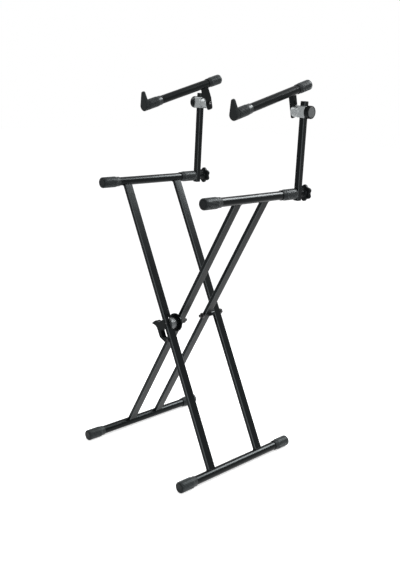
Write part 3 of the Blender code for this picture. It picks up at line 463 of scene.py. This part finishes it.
JOIN_WITHIN = 0.00002
FLAT_WITHIN = math.radians(1.0)


def merged_copy(name, *nodes):
    """Copy of solids in one mesh, with their loose triangles joined and their flat faces made whole."""
    edit = bmesh.new()
    for node in nodes:
        edit.from_mesh(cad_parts[node].data)
    bmesh.ops.remove_doubles(edit, verts=edit.verts, dist=JOIN_WITHIN)
    bmesh.ops.dissolve_limit(edit, angle_limit=FLAT_WITHIN, verts=edit.verts, edges=edit.edges)
    return piece_from(edit, name)


# Shading breaks only at edges this much sharper, in degrees, than the least one that is eased.
SHADE_MARGIN = 22.0


def eased(piece, width, angle=30.0, segments=3):
    """Rounds the sharp edges and keeps the broad faces flat."""
    name = piece.name
    shaded(piece, angle + SHADE_MARGIN)
    if width:
        piece.data.set_sharp_from_angle(angle=math.pi)
        bevel = piece.modifiers.new("eased_edges", "BEVEL")
        bevel.width = width
        bevel.segments = segments
        bevel.limit_method = "ANGLE"
        bevel.angle_limit = math.radians(angle)
    even = piece.modifiers.new("even_faces", "WEIGHTED_NORMAL")
    even.keep_sharp = True
    return plain_copy(piece, name)


def coated_with(piece, material):
    """Gives a piece one material."""
    piece.data.materials.clear()
    piece.data.materials.append(material)
    return piece


def eased_copy(name, body, slot, material, *nodes, width=0.0, angle=30.0):
    """Copy of solids with eased edges and its own finish, in their place."""
    piece = coated_with(merged_copy(name, *nodes), material)
    return belong(eased(piece, width, angle), body, slot, *nodes)


# A pale line painted on the rolled corners stands in for the highlight that they catch from the lamps.
corner_highlight_coat = powder_coat("black_powder_coat_with_painted_corner_highlight", painted_light_mark=("corner", (0.070, 0.077, 0.079)))
# A facet of a rolled corner is narrower than the first and longer than the second.
CORNER_FACET = 0.0018
LEAST_RUN = 0.05


def square_tube(name, body, node):
    """Copy of a rectangular tube with a painted highlight on the long narrow facets of its corners."""
    piece = coated_with(merged_copy(name, node), corner_highlight_coat)
    corner = piece.data.attributes.new("corner", "FLOAT", "FACE")
    for face in piece.data.polygons:
        points = [piece.data.vertices[i].co for i in face.vertices]
        run = max((one - other).length for one, other in zip(points, points[1:] + points[:1]))
        corner.data[face.index].value = float(run > LEAST_RUN and face.area / run < CORNER_FACET)
    return belong(eased(piece, 0.0), body, "black_steel", node)


for end in ("front", "rear"):
    for layer, body in (("outer", "outer_frame"), ("inner", "inner_frame")):
        square_tube(end + "_" + layer + "_leg_tube", body, end + "_" + layer + "_leg")


# Welds
# A bead runs round each leg where it meets a round tube. The frame is welded before it is coated, so the
# beads have the coat's colour, and the ripples of the torch show under it.

BEAD_RADIUS = 0.0016
BEAD_STEP = 0.0006
# Shares of the bead's radius: its mean, the ripples' depth, and the unevenness with what it adds on average
BEAD_MEAN = 0.9
RIPPLE_DEPTH = 0.13
BEAD_UNEVEN = 0.35
BEAD_ADDED = 0.17
RIPPLE_PITCH = 0.0021
# The bead's line runs this far off the leg and off the round tube.
BEAD_OFF_LEG = 0.0004
BEAD_OFF_TUBE = 0.0006
LEG_WIDTH = 0.0145
LEG_DEPTH = 0.031
LEG_CORNER = 0.0022
CORNER_STEPS = 3

bead_tree, enter, leave = geometry_tree(
    "weld_bead", [("Bead Radius", "Float", BEAD_RADIUS), ("Ripple Pitch", "Float", RIPPLE_PITCH),
                  ("Ripple Depth", "Float", RIPPLE_DEPTH), ("Material", "Material", None)])
path = add_node(bead_tree, "GeometryNodeMeshToCurve", Mesh=enter.outputs["Geometry"])
fine = add_node(bead_tree, "GeometryNodeResampleCurve", {"mode": "LENGTH", "Length": BEAD_STEP},
                Curve=path.outputs[0])
spot = add_node(bead_tree, "GeometryNodeSplineParameter")
ripples = maths(bead_tree, "DIVIDE", spot.outputs["Length"], enter.outputs["Ripple Pitch"])
wave = maths(bead_tree, "SINE", maths(bead_tree, "MULTIPLY", ripples, 2 * math.pi))
swell = maths(bead_tree, "MULTIPLY_ADD", wave, enter.outputs["Ripple Depth"], BEAD_MEAN)
where = add_node(bead_tree, "GeometryNodeInputPosition")
uneven = add_node(bead_tree, "ShaderNodeTexNoise", {"Scale": 130.0, "Detail": 1.0}, Vector=where.outputs[0])
size = maths(bead_tree, "MULTIPLY_ADD", uneven.outputs[0], BEAD_UNEVEN, swell)
thinner = maths(bead_tree, "SUBTRACT", size, BEAD_ADDED)
ring = add_node(bead_tree, "GeometryNodeCurvePrimitiveCircle", {"Resolution": 10},
                Radius=enter.outputs["Bead Radius"])
swept = add_node(bead_tree, "GeometryNodeCurveToMesh", Curve=fine.outputs[0], Profile_Curve=ring.outputs[0],
                 Scale=thinner)
finish_tree(bead_tree, swept.outputs[0], enter, leave)


def middle_of(node):
    """Middle of a node's box."""
    low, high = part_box(node)
    return (Vector(low) + Vector(high)) / 2


def leg_joint(leg_y, tube_centre, towards):
    """Line where a leg's outside meets a round tube, on the side that the direction points to."""
    across = Vector((towards.z, 0, -towards.x))
    corners = []
    for quarter, (sx, sy) in enumerate(((1, 1), (-1, 1), (-1, -1), (1, -1))):
        for step in range(CORNER_STEPS + 1):
            angle = math.pi / 2 * (quarter + step / CORNER_STEPS)
            u = sx * (LEG_WIDTH / 2 - LEG_CORNER) + (LEG_CORNER + BEAD_OFF_LEG) * math.cos(angle)
            v = sy * (LEG_DEPTH / 2 - LEG_CORNER) + (LEG_CORNER + BEAD_OFF_LEG) * math.sin(angle)
            reach = math.sqrt((TUBE_RADIUS + BEAD_OFF_TUBE) ** 2 - u ** 2)
            point = tube_centre + towards * reach + across * u
            corners.append(point + Vector((0, leg_y - tube_centre.y, 0)) + Vector((0, v, 0)))
    return corners


def weld_beads(name, body, joints):
    """One piece with a bead on each joint of a frame."""
    holder = empty_holder(name)
    points = []
    edges = []
    for joint in joints:
        first = len(points)
        points += joint
        edges += [(first + i, first + (i + 1) % len(joint)) for i in range(len(joint))]
    holder.data.from_pydata(points, edges, [])
    modifier_with(holder, bead_tree, {"Bead Radius": BEAD_RADIUS, "Material": black_coat})
    piece = plain_copy(holder, name)
    outward(piece.data)
    return belong(shaded(piece, angle=60.0), body, "black_steel")


for body, arm, foot, layer in (("outer_frame", "left", "right", "outer"),
                               ("inner_frame", "right", "left", "inner")):
    arm_centre = middle_of(arm + "_arm_tube")
    foot_centre = middle_of(foot + "_foot_tube")
    rise = arm_centre - foot_centre
    rise.y = 0
    rise.normalize()
    joints = []
    for end in ("front", "rear"):
        leg_y = middle_of(end + "_" + layer + "_leg").y
        joints.append(leg_joint(leg_y, arm_centre, -rise))
        joints.append(leg_joint(leg_y, foot_centre, rise))
    weld_beads(layer + "_frame_welds", body, joints)


# Rubber caps
# Each tube end wears a moulded rubber cap: a thin lip at its mouth, a ribbed grip with 26 rounded ribs and a
# plain end with a shallow ring. It is pushed on over the tube.

def rubber(name, colour, pale, gleam, painted_light_mark=None):
    """Moulded black rubber. The gleam is its specular level, and painted shade goes where a mark is given."""
    return finish_material(
        name, colour, pale, gloss=(0.32, 0.42), grain=1500.0, patch=30.0, bump=(0.08, 0.00005), painted_light_mark=painted_light_mark,
        shader_values={"Specular IOR Level": gleam, "Specular Tint": COOL_TINT})


black_rubber = rubber("black_rubber", (0.006, 0.0068, 0.0072), (0.009, 0.0100, 0.0105), 0.14)
# The ribbed rubber carries painted shade in its grooves, on its end face and on its lip.
ribbed_rubber_with_painted_shade = rubber("ribbed_black_rubber_with_painted_shade", (0.028, 0.0313, 0.0320), (0.036, 0.0400, 0.0410), 0.16,
                       painted_light_mark=("groove", (0.002, 0.0022, 0.0023)))

# Length, radius and lip radius of each kind of cap
ARM_CAP = (0.074, 0.019, 0.0172)
FOOT_CAP = (0.071, 0.019, 0.0172)
UPPER_CAP = (0.066, 0.018, 0.0168)
CAP_GAP = 0.0003
CAP_BORE = TUBE_RADIUS + CAP_GAP
CAP_SCREW_BORE = 0.0093
CAP_END_WALL = 0.006
CAP_LIP_LENGTH = 0.013
CAP_SHOULDER = 0.005
CAP_GRIP_STEPS = 5
CAP_ROUNDING = 0.0045
# Rounded end as shares of the rounding, along the axis and outward
CAP_CURVE = ((0.26, 0.92), (0.48, 0.84), (0.66, 0.71), (0.80, 0.50), (0.90, 0.30), (0.97, 0.10), (1.0, 0.0))
RIB_COUNT = 26
RIB_DEPTH = 0.0016
RIB_GROOVE = -0.1
RIB_START = CAP_LIP_LENGTH + 0.0016
RIB_END_GAP = 0.0002
RIB_FADE_LOW = 0.0030
RIB_FADE_HIGH = 0.0012
# Only what lies further out than this is ribbed, which leaves the bore round.
RIB_LEAST_RADIUS = CAP_BORE + 0.0005
# Depth of the end face that gets painted shade, and the share of painted shade on the lip
END_FACE_DEPTH = 0.0008
LIP_PAINTED_SHADE = 0.6
CAP_SIDES = RIB_COUNT * 8

rib_tree, enter, leave = geometry_tree(
    "ribbing", [("Count", "Float", float(RIB_COUNT)), ("Depth", "Float", RIB_DEPTH),
                ("Low", "Float", RIB_START), ("High", "Float", ARM_CAP[0]),
                ("Fade Low", "Float", RIB_FADE_LOW), ("Fade High", "Float", RIB_FADE_HIGH),
                ("Least Radius", "Float", RIB_LEAST_RADIUS), ("Groove", "Float", RIB_GROOVE),
                ("Material", "Material", None)])
given = enter.outputs
where = add_node(rib_tree, "GeometryNodeInputPosition")
x, y, z = add_node(rib_tree, "ShaderNodeSeparateXYZ", in_0=where.outputs[0]).outputs
flat = add_node(rib_tree, "ShaderNodeCombineXYZ", X=x, Y=y)
reach = add_node(rib_tree, "ShaderNodeVectorMath", {"operation": "LENGTH"}, in_0=flat.outputs[0])
out = add_node(rib_tree, "ShaderNodeVectorMath", {"operation": "NORMALIZE"}, in_0=flat.outputs[0])
turn = maths(rib_tree, "MULTIPLY", maths(rib_tree, "ARCTAN2", y, x), given["Count"])
groove = add_node(rib_tree, "ShaderNodeMapRange", {"interpolation_type": "SMOOTHSTEP", "From Max": 1.0},
                  Value=maths(rib_tree, "COSINE", turn), From_Min=given["Groove"])
after = add_node(rib_tree, "ShaderNodeMapRange", {"interpolation_type": "SMOOTHSTEP"}, Value=z,
                 From_Min=given["Low"], From_Max=maths(rib_tree, "ADD", given["Low"], given["Fade Low"]))
before = add_node(rib_tree, "ShaderNodeMapRange",
                  {"interpolation_type": "SMOOTHSTEP", "To Min": 1.0, "To Max": 0.0}, Value=z,
                  From_Min=maths(rib_tree, "SUBTRACT", given["High"], given["Fade High"]),
                  From_Max=given["High"])
outside = maths(rib_tree, "GREATER_THAN", reach.outputs["Value"], given["Least Radius"])
amount = groove.outputs[0]
for limit in (after.outputs[0], before.outputs[0], outside):
    amount = maths(rib_tree, "MULTIPLY", amount, limit)
inward = maths(rib_tree, "MULTIPLY", maths(rib_tree, "MULTIPLY", amount, given["Depth"]), -1.0)
move = add_node(rib_tree, "ShaderNodeVectorMath", {"operation": "SCALE"}, in_0=out.outputs[0], Scale=inward)
# Shade is painted as a darker colour in the grooves and on the end face, and more lightly on the lip at the
# mouth.
end_face = maths(rib_tree, "GREATER_THAN", z, maths(rib_tree, "SUBTRACT", given["High"], END_FACE_DEPTH))
lip = maths(rib_tree, "MULTIPLY", maths(rib_tree, "LESS_THAN", z, given["Low"]), LIP_PAINTED_SHADE)
painted_shade = maths(rib_tree, "MAXIMUM", maths(rib_tree, "MAXIMUM", amount, end_face), lip)
painted_light_mark = add_node(rib_tree, "GeometryNodeStoreNamedAttribute",
                  {"data_type": "FLOAT", "domain": "POINT", "Name": "groove"}, Geometry=given["Geometry"],
                  Value=painted_shade)
ribbed = add_node(rib_tree, "GeometryNodeSetPosition", Geometry=painted_light_mark.outputs[0], Offset=move.outputs[0])
finish_tree(rib_tree, ribbed.outputs[0], enter, leave)


def lathed(name, profile, sides, looped=False):
    """Body turned about Z through (height, radius) points. A looped one has a hole through it."""
    edit = bmesh.new()
    angles = [2 * math.pi * i / sides for i in range(sides)]
    loops = []
    for height, radius in profile:
        if radius == 0.0:
            loops.append([edit.verts.new((0, 0, height))])
            continue
        loops.append([edit.verts.new((radius * math.cos(angle), radius * math.sin(angle), height))
                      for angle in angles])
    pairs = list(zip(loops, loops[1:]))
    if looped:
        pairs.append((loops[-1], loops[0]))
    for one, other in pairs:
        for i in range(sides):
            j = (i + 1) % sides
            if len(one) == 1:
                edit.faces.new((one[0], other[i], other[j]))
            elif len(other) == 1:
                edit.faces.new((one[i], one[j], other[0]))
            else:
                edit.faces.new((one[i], one[j], other[j], other[i]))
    return piece_from(edit, name)


def facing(point, direction):
    """Placement that lays Z along a direction from a point."""
    return Matrix.Translation(point) @ Vector(direction).to_track_quat("Z", "Y").to_matrix().to_4x4()


def tube_end(node, tilt, towards):
    """End of a round tube's axis and the direction out of it, towards -1 at the front or 1 at the back."""
    centre, length = axis_of(node, tilt)
    out = Vector((0, math.cos(tilt), math.sin(tilt))) * towards
    return centre + out * length / 2, out


def rubber_cap(name, body, node, tube, towards, sizes, bored=0.0, tilt=0.0):
    """Ribbed cap over the end of a tube. Its profile goes from the seat, round the mouth, to the end."""
    length, radius, lip = sizes
    seat = length - CAP_END_WALL
    sleeve = [(seat, CAP_BORE), (0.0003, CAP_BORE), (0.0, CAP_BORE + 0.0004), (0.0, lip - 0.0006),
              (0.0002, lip - 0.0002), (0.0006, lip), (CAP_LIP_LENGTH, lip),
              (CAP_LIP_LENGTH + 0.0010, lip + 0.0003),
              (CAP_LIP_LENGTH + 0.0022, lip + (radius - lip) * 0.62),
              (CAP_LIP_LENGTH + 0.0036, lip + (radius - lip) * 0.93)]
    grip = CAP_LIP_LENGTH + CAP_SHOULDER
    run = length - CAP_ROUNDING - grip
    sleeve += [(grip + run * i / CAP_GRIP_STEPS, radius) for i in range(CAP_GRIP_STEPS + 1)]
    sleeve += [(length - CAP_ROUNDING * (1 - a), radius - CAP_ROUNDING * (1 - b)) for a, b in CAP_CURVE]
    edge = radius - CAP_ROUNDING
    sleeve += [(length, edge - 0.0005), (length - 0.0006, edge - 0.0009), (length - 0.0006, edge - 0.0016),
               (length - 0.0001, edge - 0.0020)]
    if bored:
        profile = sleeve + [(length - 0.0001, bored + 0.0006), (length - 0.0006, bored), (seat, bored)]
        cap = lathed(name, profile, CAP_SIDES, looped=True)
    else:
        profile = [(seat, 0.0)] + sleeve + [(length - 0.0003, 0.0)]
        cap = lathed(name, profile, CAP_SIDES)
    modifier_with(cap, rib_tree, {
        "Count": float(RIB_COUNT), "Depth": RIB_DEPTH, "Low": RIB_START, "High": length - RIB_END_GAP,
        "Fade Low": RIB_FADE_LOW, "Fade High": RIB_FADE_HIGH, "Least Radius": RIB_LEAST_RADIUS,
        "Groove": RIB_GROOVE, "Material": ribbed_rubber_with_painted_shade})
    cap = plain_copy(cap, name)
    end, out = tube_end(tube, tilt, towards)
    put(cap, facing(end + out * (CAP_GAP + CAP_END_WALL - length), out))
    return belong(shaded(cap, angle=50.0), body, "rubber", node)


for side, sign, arm_body in SIDES:
    foot_body = "inner_frame" if side == "left" else "outer_frame"
    arm = side + "_arm"
    foot = side + "_foot"
    upper = side + "_upper"
    rubber_cap(arm + "_front_rubber", arm_body, arm + "_front_cap", arm + "_tube", -1, ARM_CAP)
    rubber_cap(arm + "_rear_rubber", arm_body, arm + "_rear_cap", arm + "_tube", 1, ARM_CAP,
               bored=CAP_SCREW_BORE)
    for end, towards in (("_front", -1), ("_rear", 1)):
        rubber_cap(foot + end + "_rubber", foot_body, foot + end + "_cap", foot + "_tube", towards, FOOT_CAP)
    for end, cap, towards in (("_rear", "_rear_cap", 1), ("_front", "_hook_cap", -1)):
        rubber_cap(upper + end + "_rubber", upper + "_arm", upper + cap, upper + "_arm_tube", towards,
                   UPPER_CAP, tilt=UPPER_TILT)


# Hooks
# The front cap of each upper arm ends in a moulded hook, which keeps the upper keyboard from sliding off. It
# is round below like the cap, narrows upwards and leans back a little at the front.

HOOK_RADIUS = 0.0178
HOOK_TIP = 0.0070
HOOK_HEIGHT = 0.0499
HOOK_BACK = 0.0052
HOOK_THICK = 0.0169
HOOK_TIP_THICK = 0.0100
HOOK_EDGE = 0.0024
HOOK_ROUND_STEPS = 16
HOOK_TIP_STEPS = 10


def half_round(radius, up, start, steps):
    """Points (across, up) of a half circle."""
    angles = [start + math.pi * i / steps for i in range(steps + 1)]
    return [(radius * math.cos(angle), up + radius * math.sin(angle)) for angle in angles]


outline = half_round(HOOK_RADIUS, 0.0, math.pi, HOOK_ROUND_STEPS)
outline += half_round(HOOK_TIP, HOOK_HEIGHT - HOOK_TIP, 0.0, HOOK_TIP_STEPS)
for side, sign, arm_body in SIDES:
    edit = bmesh.new()
    loops = []
    for front in (False, True):
        loop = []
        for across, up in outline:
            share = (up + HOOK_RADIUS) / (HOOK_HEIGHT + HOOK_RADIUS)
            reach = HOOK_BACK + (HOOK_THICK + (HOOK_TIP_THICK - HOOK_THICK) * share if front else 0.0)
            loop.append(edit.verts.new((across, -reach, up)))
        loops.append(loop)
    edit.faces.new(loops[0])
    edit.faces.new(loops[1])
    for i in range(len(outline)):
        j = (i + 1) % len(outline)
        edit.faces.new((loops[0][i], loops[0][j], loops[1][j], loops[1][i]))
    hook = coated_with(piece_from(edit, side + "_hook_rubber"), black_rubber)
    hook = eased(hook, HOOK_EDGE, angle=40.0, segments=4)
    end, out = tube_end(side + "_upper_arm_tube", UPPER_TILT, -1)
    put(hook, Matrix.Translation(end) @ Matrix.Rotation(UPPER_TILT, 4, "X"))
    belong(hook, side + "_upper_arm", "rubber", side + "_upper_hook_cap")


# Pivots and lock
# A bolt holds each pair of legs. At the front a grey steel hub stands off the outer leg from a black toothed
# disc and its backing plate on the inner leg. At the rear a black spacer sleeve does. Bolts are blackened.

hub_steel = finish_material(
    "grey_hub_steel", colour=(0.085, 0.092, 0.094), pale=(0.105, 0.112, 0.114), gloss=(0.26, 0.34),
    grain=1200.0, patch=40.0, bump=(0.10, 0.00005), worn=((0.30, 0.31, 0.32), 0.5), lines=(0.0, 1.0, 0.0),
    shader_values={"Metallic": 0.5, "Specular IOR Level": 0.5})
blackened_steel = finish_material(
    "blackened_steel", colour=(0.010, 0.010, 0.0105), pale=(0.018, 0.018, 0.019), gloss=(0.28, 0.42),
    grain=1400.0, patch=60.0, bump=(0.10, 0.00006), worn=((0.06, 0.06, 0.062), 0.1), lines=(0.0, 1.0, 0.0),
    shader_values={"Metallic": 0.3, "Specular IOR Level": 0.3})


def turned_piece(name, body, slot, material, profile, place, *nodes, sides=80, width=0.0, looped=False):
    """Turned piece with eased edges, its Z laid as the placement says."""
    piece = coated_with(lathed(name, profile, sides, looped), material)
    return belong(put(eased(piece, width, angle=20.0, segments=2), place), body, slot, *nodes)


BOLT_BORE = 0.0056


def collar(name, body, slot, material, node, radius, width):
    """Plain turned ring on the pivot, in the place of its solid."""
    low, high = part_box(node)
    length = high[1] - low[1]
    profile = [(0, BOLT_BORE), (0, radius), (length, radius), (length, BOLT_BORE)]
    centre = middle_of(node)
    place = facing((centre.x, low[1], centre.z), (0, 1, 0))
    return turned_piece(name, body, slot, material, profile, place, node, sides=64, width=width, looped=True)


collar("grey_hub", "outer_frame", "zinc_steel", hub_steel, "pivot_hub", radius=0.0195, width=0.0014)
collar("backing_plate", "inner_frame", "black_steel", black_coat, "lock_plate", radius=0.0325, width=0.0006)
collar("rear_sleeve", "outer_frame", "black_steel", black_coat, "rear_spacer", radius=0.0090, width=0.0004)
eased_copy("toothed_disc", "inner_frame", "black_steel", black_coat, "lock_disc")
for node in ("front_pivot_bolt", "front_pivot_nut", "rear_pivot_bolt", "rear_pivot_nut"):
    eased_copy(node + "_steel", "outer_frame", "black_steel", blackened_steel, node, width=0.0006)


# Trigger
# A moulded black lever, hinged on the front outer leg, that draws the lock pin out of the toothed disc when a
# finger pulls it. A wire spring on the hinge pin returns it.

black_plastic = finish_material(
    "black_moulded_plastic", colour=(0.0040, 0.0046, 0.0049), pale=(0.0060, 0.0068, 0.0072),
    gloss=(0.26, 0.32), grain=1300.0, patch=24.0, bump=(0.10, 0.00006),
    shader_values={"Specular IOR Level": 0.08, "Specular Tint": COOL_TINT})


def zinc_plate(name, lines):
    """Zinc-plated steel, its turning lines square to a direction."""
    return finish_material(
        name, colour=(0.36, 0.37, 0.38), pale=(0.46, 0.47, 0.475), gloss=(0.26, 0.40), grain=1200.0,
        patch=40.0, bump=(0.10, 0.00005), worn=((0.60, 0.61, 0.62), 0.4), lines=lines,
        shader_values={"Metallic": 0.9})


bright_steel = zinc_plate("zinc_plated_steel", (0.0, 1.0, 0.0))

# Eased edge of pins, screws and inserts
PIN_EDGE = 0.0004

eased_copy("trigger_moulding", "trigger", "black_plastic", black_plastic, "trigger_lever", width=0.0012,
           angle=35.0)
eased_copy("trigger_hinge_pin", "outer_frame", "black_steel", blackened_steel, "trigger_pin", width=PIN_EDGE)
eased_copy("lock_pin_steel", "trigger", "black_steel", blackened_steel, "lock_pin", width=PIN_EDGE)

WIRE_RADIUS = 0.00035
SPRING_RADIUS = 0.0055
SPRING_TURNS = 2.0

spring_tree, enter, leave = geometry_tree(
    "wound_spring", [("Wire Radius", "Float", WIRE_RADIUS), ("Radius", "Float", SPRING_RADIUS),
                     ("Turns", "Float", SPRING_TURNS), ("Height", "Float", 0.003),
                     ("Material", "Material", None)])
given = enter.outputs
coil = add_node(spring_tree, "GeometryNodeCurveSpiral", {"Resolution": 40}, Rotations=given["Turns"],
                Height=given["Height"], Start_Radius=given["Radius"], End_Radius=given["Radius"])
ring = add_node(spring_tree, "GeometryNodeCurvePrimitiveCircle", {"Resolution": 10},
                Radius=given["Wire Radius"])
swept = add_node(spring_tree, "GeometryNodeCurveToMesh", {"Fill Caps": True}, Curve=coil.outputs[0],
                 Profile_Curve=ring.outputs[0])
finish_tree(spring_tree, swept.outputs[0], enter, leave)

low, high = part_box("trigger_spring")
holder = empty_holder("return_spring")
modifier_with(holder, spring_tree, {"Wire Radius": WIRE_RADIUS, "Turns": SPRING_TURNS,
                                    "Height": high[1] - low[1] - 2 * WIRE_RADIUS, "Material": bright_steel})
spring = plain_copy(holder, "return_spring")
centre = middle_of("trigger_pin")
put(spring, facing((centre.x, low[1] + WIRE_RADIUS, centre.z), (0, 1, 0)))
belong(shaded(spring, angle=60.0), "trigger", "zinc_steel", "trigger_spring")


# Uprights
# Two 20 mm square tubes with rolled corners carry the second tier, coated like the frame. A screw holds each
# to the end of its lower arm, and a moulded plug closes each end.

for side, sign, arm_body in SIDES:
    body = side + "_upright"
    square_tube(side + "_upright_bar", body, side + "_upright_tube")
    for end in ("top", "base"):
        eased_copy(side + "_upright_" + end + "_stop", body, "black_plastic", black_plastic,
                   side + "_upright_" + end + "_plug", width=0.0002)


# Star knobs
# Behind each upright a six-lobed plastic knob on a zinc-plated screw pulls it against the end of the lower
# arm. Its lobes are rounded, and its long neck flares into them.

LOBES = 6
LOBE_SIDES = LOBES * 16
STAR_RADIUS = 0.029
STAR_VALLEY = 0.0052
# Over 1, it makes the lobes broader than the valleys between them.
STAR_SHARPNESS = 1.3
STAR_HEAD = 0.014
STAR_NECK = 0.0110
STAR_BORE = 0.0048

for side, sign, arm_body in SIDES:
    node = side + "_star_knob"
    low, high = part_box(node)
    long = high[1] - low[1]
    head = long - STAR_HEAD
    # Height from the upright, radius and how far the lobes cut into it
    rings = [(long - 0.004, STAR_BORE, 0), (0.0004, STAR_BORE, 0), (0.0, 0.0052, 0), (0.0, 0.0106, 0),
             (0.0005, STAR_NECK, 0), (head * 0.55, STAR_NECK, 0), (head * 0.80, 0.0116, 0),
             (head * 0.93, 0.0134, 0), (head, 0.0170, 0.15), (head + 0.0004, 0.0222, 0.6),
             (head + 0.0010, 0.0262, 0.9), (head + 0.0022, 0.0282, 1), (head + 0.0040, STAR_RADIUS, 1),
             (long - 0.0040, STAR_RADIUS, 1), (long - 0.0022, 0.0284, 1), (long - 0.0010, 0.0268, 0.95),
             (long - 0.0002, 0.0240, 0.8), (long, 0.0205, 0.45), (long, 0.0150, 0),
             (long - 0.0006, 0.0140, 0), (long - 0.0012, 0.0100, 0), (long - 0.0040, 0.0090, 0)]
    edit = bmesh.new()
    loops = []
    for height, radius, share in rings:
        loop = []
        for i in range(LOBE_SIDES):
            angle = 2 * math.pi * i / LOBE_SIDES
            valley = ((1 - math.cos(LOBES * angle)) / 2) ** STAR_SHARPNESS
            reach = radius - STAR_VALLEY * share * valley
            loop.append(edit.verts.new((reach * math.cos(angle), reach * math.sin(angle), height)))
        loops.append(loop)
    for one, other in zip(loops, loops[1:] + loops[:1]):
        for i in range(LOBE_SIDES):
            j = (i + 1) % LOBE_SIDES
            edit.faces.new((one[i], one[j], other[j], other[i]))
    knob = coated_with(piece_from(edit, side + "_star_grip"), black_plastic)
    centre = middle_of(node)
    # A lobe points up, as in its solid.
    put(knob, facing((centre.x, low[1], centre.z), (0, 1, 0)) @ Matrix.Rotation(math.radians(90), 4, "Z"))
    belong(shaded(knob, angle=40.0), side + "_star", "black_plastic", node)
    eased_copy(side + "_star_screw_steel", side + "_star", "zinc_steel", bright_steel,
               side + "_star_knob_screw", width=PIN_EDGE)
    eased_copy(side + "_threaded_insert", arm_body, "zinc_steel", bright_steel, side + "_arm_insert",
               width=PIN_EDGE)


# Clamps
# A cast alloy block slides on each upright. It is blasted to a satin silver and has a round boss on its inner
# side. A black knob with a grey face tightens a screw against the upright on its outer side.

cast_silver = finish_material(
    "cast_silver_alloy", colour=(0.30, 0.32, 0.325), pale=(0.34, 0.36, 0.365), gloss=(0.30, 0.36),
    grain=1100.0, patch=18.0, bump=(0.03, 0.00005), worn=((0.55, 0.57, 0.58), 0.08),
    shader_values={"Metallic": 0.45, "Specular IOR Level": 0.5})
grey_face = finish_material(
    "grey_knob_face", colour=(0.070, 0.076, 0.077), pale=(0.090, 0.097, 0.098), gloss=(0.40, 0.50),
    grain=1300.0, patch=60.0, bump=(0.16, 0.00008), worn=((0.14, 0.15, 0.15), 0.3),
    shader_values={"Specular IOR Level": 0.5})
cross_steel = zinc_plate("zinc_plated_steel_across", (1.0, 0.0, 0.0))

KNOB_RADIUS = 0.0220
KNOB_LENGTH = 0.0180
KNOB_BORE = 0.0044
KNOB_CUP = 0.0136
KNOB_PROFILE = ((0.0, KNOB_BORE), (0.0, 0.0210), (0.0010, KNOB_RADIUS), (0.0155, KNOB_RADIUS),
                (0.0167, 0.0216), (0.0175, 0.0208), (KNOB_LENGTH, 0.0197), (KNOB_LENGTH, 0.0186),
                (0.0174, 0.0179), (KNOB_CUP, 0.0178), (KNOB_CUP, KNOB_BORE))
FACE_RADIUS = 0.0176
FACE_PROFILE = ((0.0137, 0.0), (0.0137, FACE_RADIUS), (0.0172, FACE_RADIUS), (0.0176, 0.0172),
                (0.0178, 0.0160), (0.01795, 0.0))

for side, sign, arm_body in SIDES:
    clamp = side + "_clamp"
    knob_body = side + "_knob"
    node = clamp + "_knob"
    eased_copy(clamp + "_casting", clamp, "silver_alloy", cast_silver, clamp + "_body", width=0.0009)
    low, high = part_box(node)
    centre = middle_of(node)
    place = facing((high[0] if sign < 0 else low[0], centre.y, centre.z), (sign, 0, 0))
    turned_piece(clamp + "_grip", knob_body, "black_plastic", black_plastic, KNOB_PROFILE, place, node,
                 looped=True)
    turned_piece(clamp + "_face", knob_body, "black_plastic", grey_face, FACE_PROFILE, place, node)
    eased_copy(clamp + "_screw_steel", knob_body, "zinc_steel", cross_steel, clamp + "_screw", width=PIN_EDGE)


# Tilting joints
# A cast silver disc turns against each clamp's boss, and a bolt through both and through the bracket's ear
# clamps them. The bracket is folded 3 mm sheet, welded under the upper arm, and coated black.

DISC_BORE = 0.0047
DISC_RADIUS = 0.0200
DISC_NECK = 0.0183
DISC_LENGTH = 0.0282
DISC_PROFILE = ((0.0, DISC_BORE), (0.0, 0.0176), (0.0007, DISC_NECK), (0.0058, DISC_NECK), (0.0064, 0.0185),
                (0.0088, 0.0198), (0.0096, DISC_RADIUS), (0.0225, DISC_RADIUS), (0.0245, 0.0197),
                (0.0263, 0.0189), (0.0276, 0.0178), (DISC_LENGTH, 0.0165), (DISC_LENGTH, DISC_BORE))
SHANK_RADIUS = 0.0040
THREAD_RADIUS = 0.0023
BOLT_HEAD = 0.0045
HEAD_RADIUS = 0.0070
HEAD_SOCKET = 0.0025
HEAD_PROFILE = ((0.0, HEAD_SOCKET), (0.0, HEAD_RADIUS), (0.0030, HEAD_RADIUS), (0.0038, 0.0066),
                (0.0042, 0.0058), (0.0043, 0.0032), (0.0040, HEAD_SOCKET))

for side, sign, arm_body in SIDES:
    body = side + "_upper_arm"
    node = side + "_tilt_disc"
    low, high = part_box(node)
    centre = middle_of(node)
    place = facing((high[0] if sign > 0 else low[0], centre.y, centre.z), (-sign, 0, 0))
    turned_piece(side + "_tilt_casting", body, "silver_alloy", cast_silver, DISC_PROFILE, place, node,
                 looped=True)
    eased_copy(side + "_folded_bracket", body, "black_steel", black_coat, side + "_arm_bracket", width=0.0006)
    node = side + "_tilt_bolt"
    low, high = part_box(node)
    long = high[0] - low[0]
    profile = [(0.0, 0.0), (0.0, 0.0036), (0.0004, SHANK_RADIUS), (long - BOLT_HEAD, SHANK_RADIUS),
               (long - BOLT_HEAD, THREAD_RADIUS), (long - 0.0008, THREAD_RADIUS), (long - 0.0002, 0.0017),
               (long, 0.0)]
    place = facing((high[0] if sign > 0 else low[0], centre.y, centre.z), (-sign, 0, 0))
    turned_piece(side + "_tilt_bolt_steel", body, "zinc_steel", cross_steel, profile, place, node, sides=40)
    inner = low[0] if sign > 0 else high[0]
    place = facing((inner + sign * BOLT_HEAD, centre.y, centre.z), (-sign, 0, 0))
    turned_piece(side + "_tilt_bolt_head", body, "zinc_steel", blackened_steel, HEAD_PROFILE, place, node,
                 sides=48, looped=True)
